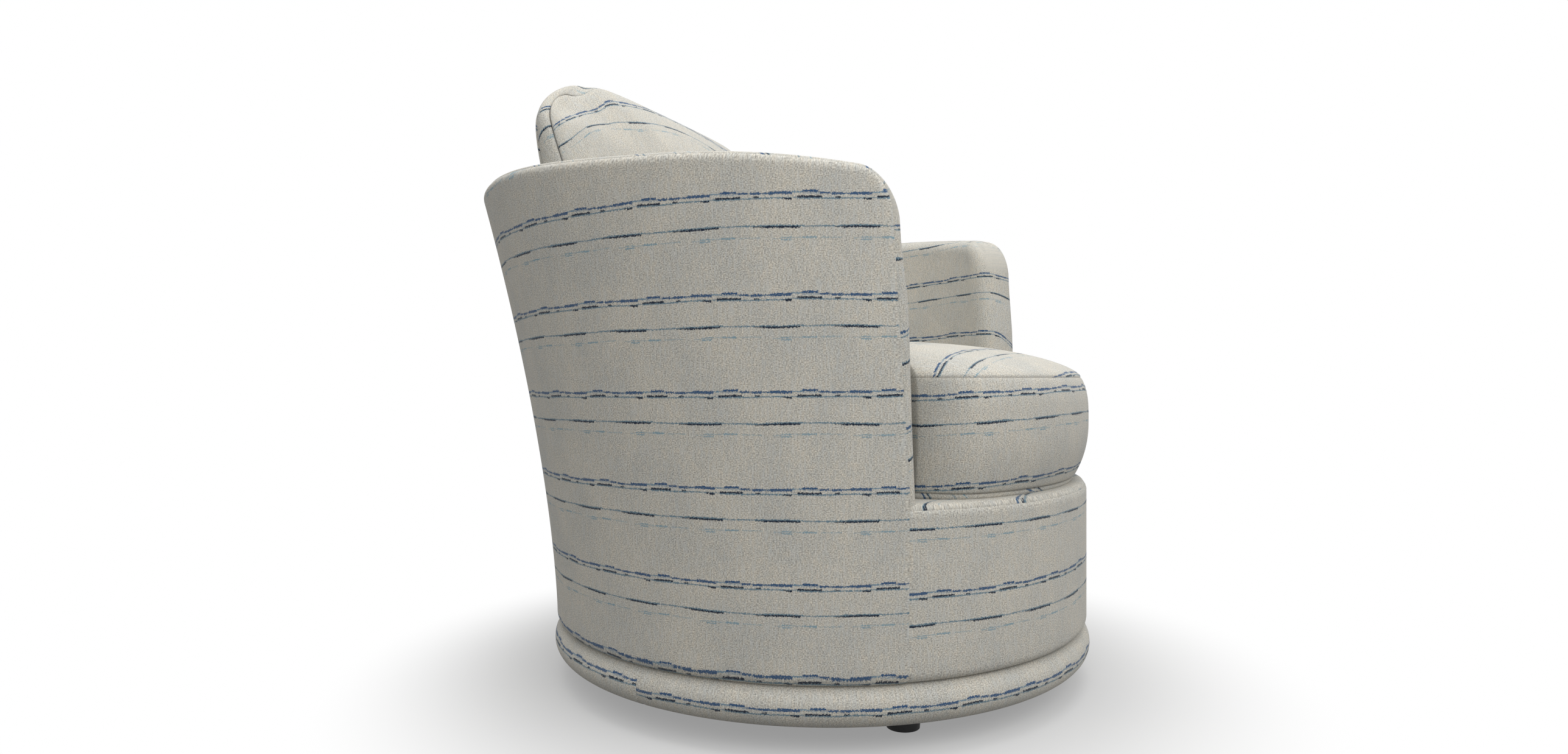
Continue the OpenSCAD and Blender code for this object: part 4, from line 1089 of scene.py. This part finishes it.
def plain_weave(name, low, high, spacing):
    """Thin plain cloth: two sets of threads, spacing mm apart, over and under."""
    material, tree = new_material(name)
    place = add(tree, "TexCoord").outputs["Object"]
    cloud = add(tree, "TexNoise", {"Vector": place, "Scale": 40.0, "Detail": 4.0})
    threads = {}
    for way in "XY":
        threads[way] = add(tree, "TexWave", {"Vector": place, "Scale": 1000 / spacing / 20,
                                             "Distortion": 0.5}, bands_direction=way).outputs[1]
    height = add(tree, "Math", {0: threads["X"], 1: threads["Y"]}, operation="MAXIMUM")
    base = add(tree, "ValToRGB", {0: cloud}, [(0.35, low), (0.65, high)])
    bump = add(tree, "Bump", {"Height": height, "Distance": 0.0004, "Strength": 0.5})
    rough = add(tree, "Math", {0: cloud, 1: 0.1, 2: 0.85}, operation="MULTIPLY_ADD")
    return finished(material, {"Base Color": base, "Roughness": rough, "Normal": bump})


UPHOLSTERY = striped_cloth()
DUST_CLOTH = plain_weave("black dust cloth", "101112", "1c1d1e", 1.2)
FINISHES = {
    "upholstery": UPHOLSTERY,
    "dust_cloth": DUST_CLOTH,
    "zip_tape": plain_weave("grey zip tape", "68665f", "827f76", 0.8),
    "foam": soft_fill("foam and wadding", "d8ccab", "e9dfc4", 1.6),
    "black_plastic": black_plastic(),
    "plywood": birch_ply(),
    "hardwood": beech_rail(),
    "zinc_steel": plated("zinc plated steel", "8f949a", "b3b8bc", 0.28, 0.2),
    "spring_wire": plated("oiled spring wire", "34353a", "4b4d52", 0.35, 0.2),
    "ball_steel": plated("polished bearing steel", "a5a8ac", "bcbfc3", 0.08, 0.06),
    "cage_brass": plated("stamped brass", "a8853f", "c7a561", 0.25, 0.15),
}
for part in frame["record"]["subparts"]:
    names = part["node"]
    if isinstance(names, str):
        names = [names]
    for name in names:
        data = frame["nodes"][name].data
        data.materials.clear()
        data.materials.append(FINISHES[part["material_slot"]])


# The pieces, and what each rides on
def cover(piece, body, nodes):
    piece.data.materials.append(UPHOLSTERY)
    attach(piece, body)
    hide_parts(*nodes)


cover(outside_cover(), "seat", ["outer_cover_panel"])
cover(inside_cover(), "seat", ["inner_padded_panel", "rim_roll"])
cover(front_panel(), "seat", ["front_panel"])
cover(ring_cover(), "base", ["ring_cover"])
cover(seat_cushion(), "seat_cushion", ["cushion_cover"])
cover(back_pillow(), "back_pillow", ["pillow_cover"])

deck, deck_r = deck_sheet()
deck.data.materials.append(UPHOLSTERY)
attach(deck, "seat")
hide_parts("deck_cloth")

dust, dust_r, dust_area = dust_sheet()
dust.data.materials.clear()
dust.data.materials.append(DUST_CLOTH)
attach(dust, "base")
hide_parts("dust_cover")

# Floor, light and view
FLOOR_HALF = 30
FLOOR_Z = -0.0005
# The floor's shadow is full up to the first distance from the chair's axis, fades outwards, and
# is gone at the second. Even where it is full, this share of the floor is plain white
SHADOW_FADE = (0.385, 0.70)
SHADOW_WHITE = 0.30
# How bright the room is
WORLD_LIGHT = 0.62
# Each lamp: its name, place and size in metres, and power in watts. All aim at the chair
LAMPS = [("overhead soft box", (0.0, -0.1, 2.7), 2.4, 45.0),
         ("fill beside the camera", (-1.95, -1.0, 1.9), 1.6, 20.5),
         ("front soft box", (-0.7, -2.1, 1.9), 1.6, 19.5)]
AIM = (0, AXIS_Y, 0.4)


def seen_rays(tree):
    """1 for rays that show a thing itself or its reflection, 0 for light that it passes on."""
    rays = add(tree, "LightPath").outputs
    mirrored = add(tree, "Math", {0: rays["Is Glossy Ray"], 1: rays["Is Transmission Ray"]},
                   operation="MAXIMUM")
    return add(tree, "Math", {0: rays["Is Camera Ray"], 1: mirrored}, operation="MAXIMUM")


def pale_floor():
    """Matt white paper. The chair's wide soft shadow lies on it, and further out it runs on into
    the white backdrop without an edge."""
    material, tree = new_material("pale studio paper")
    place = add(tree, "TexCoord").outputs["Object"]
    scaled = add(tree, "Mapping", {0: place, "Scale": (2.5, 2.5, 1.0)})
    cloud = add(tree, "TexNoise", {"Vector": scaled, "Scale": 1.0, "Detail": 2.0, "Roughness": 0.6},
                noise_dimensions="2D")
    seen = seen_rays(tree)
    shown = add(tree, "ValToRGB", {0: cloud}, [(0.3, "bababa"), (0.7, "bdbdbc")])
    base = add(tree, "Mix", {0: seen, 6: colour("8a8a89"), 7: shown}, data_type="RGBA").outputs[2]
    away = add(tree, "VectorMath", {0: place, 1: (0, AXIS_Y, 0)}, operation="DISTANCE").outputs["Value"]
    white_share = add(tree, "MapRange", {0: away, 1: SHADOW_FADE[0], 2: SHADOW_FADE[1],
                                         3: SHADOW_WHITE, 4: 1.0}, interpolation_type="SMOOTHSTEP")
    white_share = add(tree, "Math", {0: seen, 1: white_share}, operation="MULTIPLY")
    lit = add(tree, "BsdfDiffuse", {"Color": base})
    white = add(tree, "Emission", {"Color": (1, 1, 1, 1), "Strength": 1.0})
    surface = add(tree, "MixShader", {0: white_share, 1: lit, 2: white})
    add(tree, "OutputMaterial", {"Surface": surface})
    return material


floor_mesh = bpy.data.meshes.new("floor")
floor_corners = [(x * FLOOR_HALF, y * FLOOR_HALF, FLOOR_Z) for x, y in ((-1, -1), (1, -1), (1, 1), (-1, 1))]
floor_mesh.from_pydata(floor_corners, [], [(0, 1, 2, 3)])
floor_mesh.materials.append(pale_floor())
floor = placed("floor", floor_mesh)

world = bpy.data.worlds.new("studio")
bpy.context.scene.world = world
world.use_nodes = True
room = world.node_tree
room.nodes.clear()
strength = add(room, "Math", {0: seen_rays(room), 1: 1 - WORLD_LIGHT, 2: WORLD_LIGHT},
               operation="MULTIPLY_ADD")
background = add(room, "Background", {"Color": (1, 1, 1, 1), "Strength": strength})
add(room, "OutputWorld", {"Surface": background})

for lamp_name, place, size, power in LAMPS:
    lamp_data = bpy.data.lights.new(lamp_name, "AREA")
    lamp_data.size = size
    lamp_data.energy = power
    lamp = placed(lamp_name, lamp_data)
    lamp.location = place
    lamp.rotation_euler = (mathutils.Vector(AIM) - lamp.location).to_track_quat("-Z", "Y").to_euler()

bpy.context.scene.view_settings.view_transform = "Standard"
